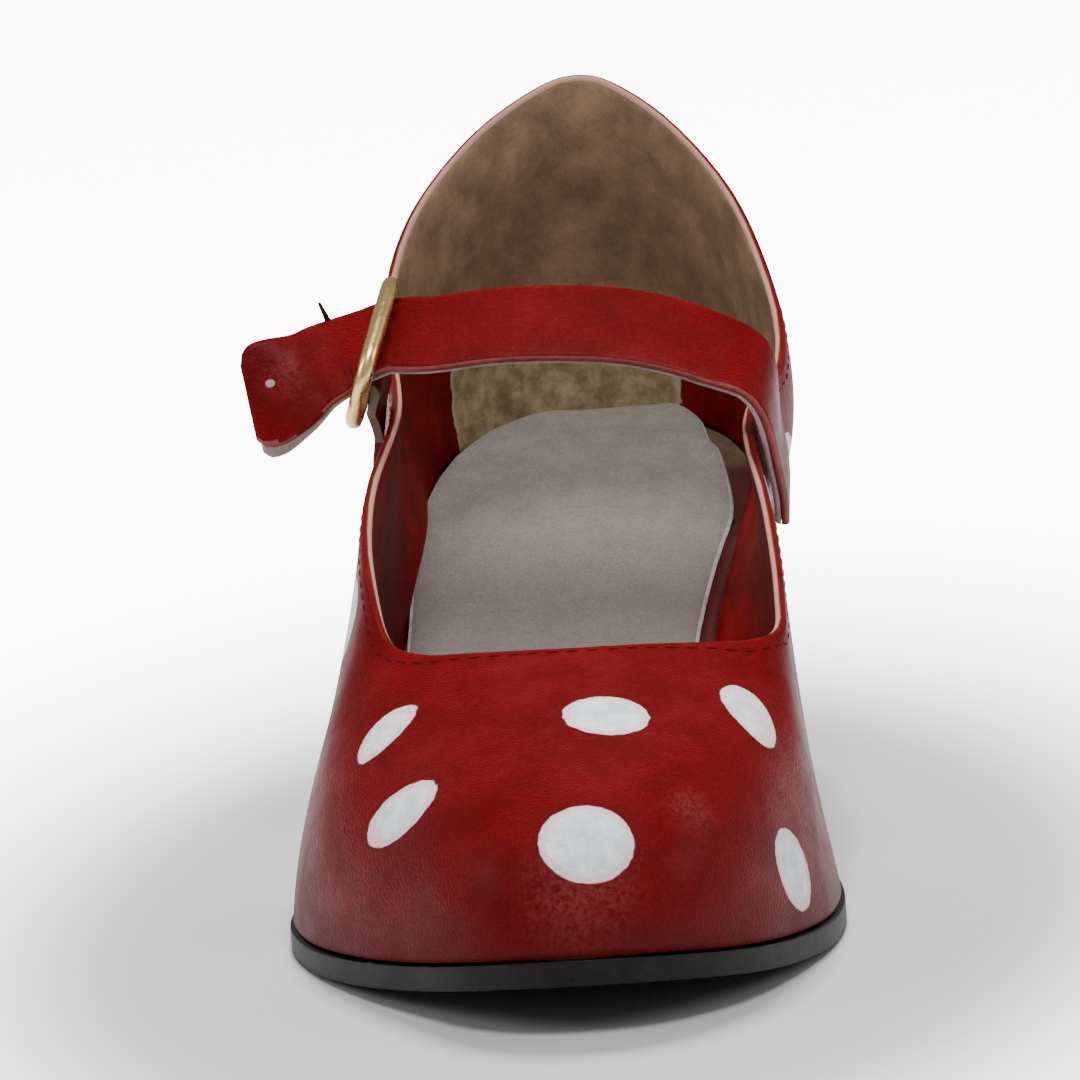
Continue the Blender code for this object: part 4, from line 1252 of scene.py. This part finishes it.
def photo_camera(name, zoom):
    """Camera at the photo's place, turned to the middle of the one shoe."""
    camera = bpy.data.cameras.new(name)
    camera.sensor_width = 36.0
    camera.lens = PHOTO_FOCUS * zoom / PHOTO_SIZE * camera.sensor_width
    camera.clip_start = 0.05
    camera.clip_end = 20.0
    holder = bpy.data.objects.new(name, camera)
    bpy.context.scene.collection.objects.link(holder)
    axes = Matrix((CAMERA_RIGHT, -CAMERA_DOWN, -CAMERA_AHEAD)).transposed()
    across, down = [(at - PHOTO_SIZE / 2.0) / PHOTO_FOCUS for at in PHOTO_MIDDLE]
    ahead = (CAMERA_AHEAD + CAMERA_RIGHT * across + CAMERA_DOWN * down).normalized()
    swing = CAMERA_AHEAD.normalized().rotation_difference(ahead).to_matrix()
    holder.matrix_world = Matrix.Translation(CAMERA_AT * MM) @ (swing @ axes).to_4x4()
    bpy.context.scene.camera = holder


class PUMP_OT_stage(bpy.types.Operator):
    """Make the pale floor, the soft lights and the camera"""
    bl_idname = "pump.stage"
    bl_label = "Stage"

    def execute(self, context):
        stage = context.scene.pump_stage
        bpy.ops.mesh.primitive_plane_add(size=12.0, location=(0.0, 0.0, 0.0))
        floor = context.active_object
        floor.name = "floor"
        floor.data.materials.append(floor_finish("floor_paper", stage))
        world = bpy.data.worlds.new("soft_room")
        world.use_nodes = True
        sky = world.node_tree.nodes["Background"]
        sky.inputs["Color"].default_value = (1.0, 1.0, 1.0, 1.0)
        sky.inputs["Strength"].default_value = stage.sky
        context.scene.world = world
        for name, light in LIGHTS.items():
            soft_light(name, *light)
        photo_camera("photo_camera", stage.zoom)
        return {"FINISHED"}


class PUMP_PT_panel(bpy.types.Panel):
    """Buttons and settings of the pump's pieces"""
    bl_idname = "PUMP_PT_panel"
    bl_label = "Strapped pump"
    bl_space_type = "VIEW_3D"
    bl_region_type = "UI"
    bl_category = "Pump"

    def draw(self, context):
        layout = self.layout
        for made in OPERATORS:
            layout.operator(made.bl_idname)
        for name in SETTINGS:
            box = layout.box()
            group = getattr(context.scene, name)
            for key in group.__annotations__:
                box.prop(group, key)


OPERATORS = (
    PUMP_OT_upper, PUMP_OT_sole, PUMP_OT_heel, PUMP_OT_footbed, PUMP_OT_strap, PUMP_OT_buckle,
    PUMP_OT_stage)
SETTINGS = {
    "pump_leather": PumpLeather,
    "pump_dots": PumpDots,
    "pump_inside": PumpInside,
    "pump_sole": PumpSole,
    "pump_buckle": PumpBuckle,
    "pump_stage": PumpStage,
}


def register():
    for name, group in SETTINGS.items():
        bpy.utils.register_class(group)
        setattr(bpy.types.Scene, name, bpy.props.PointerProperty(type=group))
    for made in OPERATORS + (PUMP_PT_panel,):
        bpy.utils.register_class(made)


def unregister():
    for made in reversed(OPERATORS + (PUMP_PT_panel,)):
        bpy.utils.unregister_class(made)
    for name, group in reversed(list(SETTINGS.items())):
        delattr(bpy.types.Scene, name)
        bpy.utils.unregister_class(group)


def main():
    register()
    bpy.ops.pump.upper()
    bpy.ops.pump.sole()
    bpy.ops.pump.heel()
    bpy.ops.pump.footbed()
    bpy.ops.pump.strap()
    bpy.ops.pump.buckle()
    bpy.ops.pump.stage()


if __name__ == "__main__":
    main()
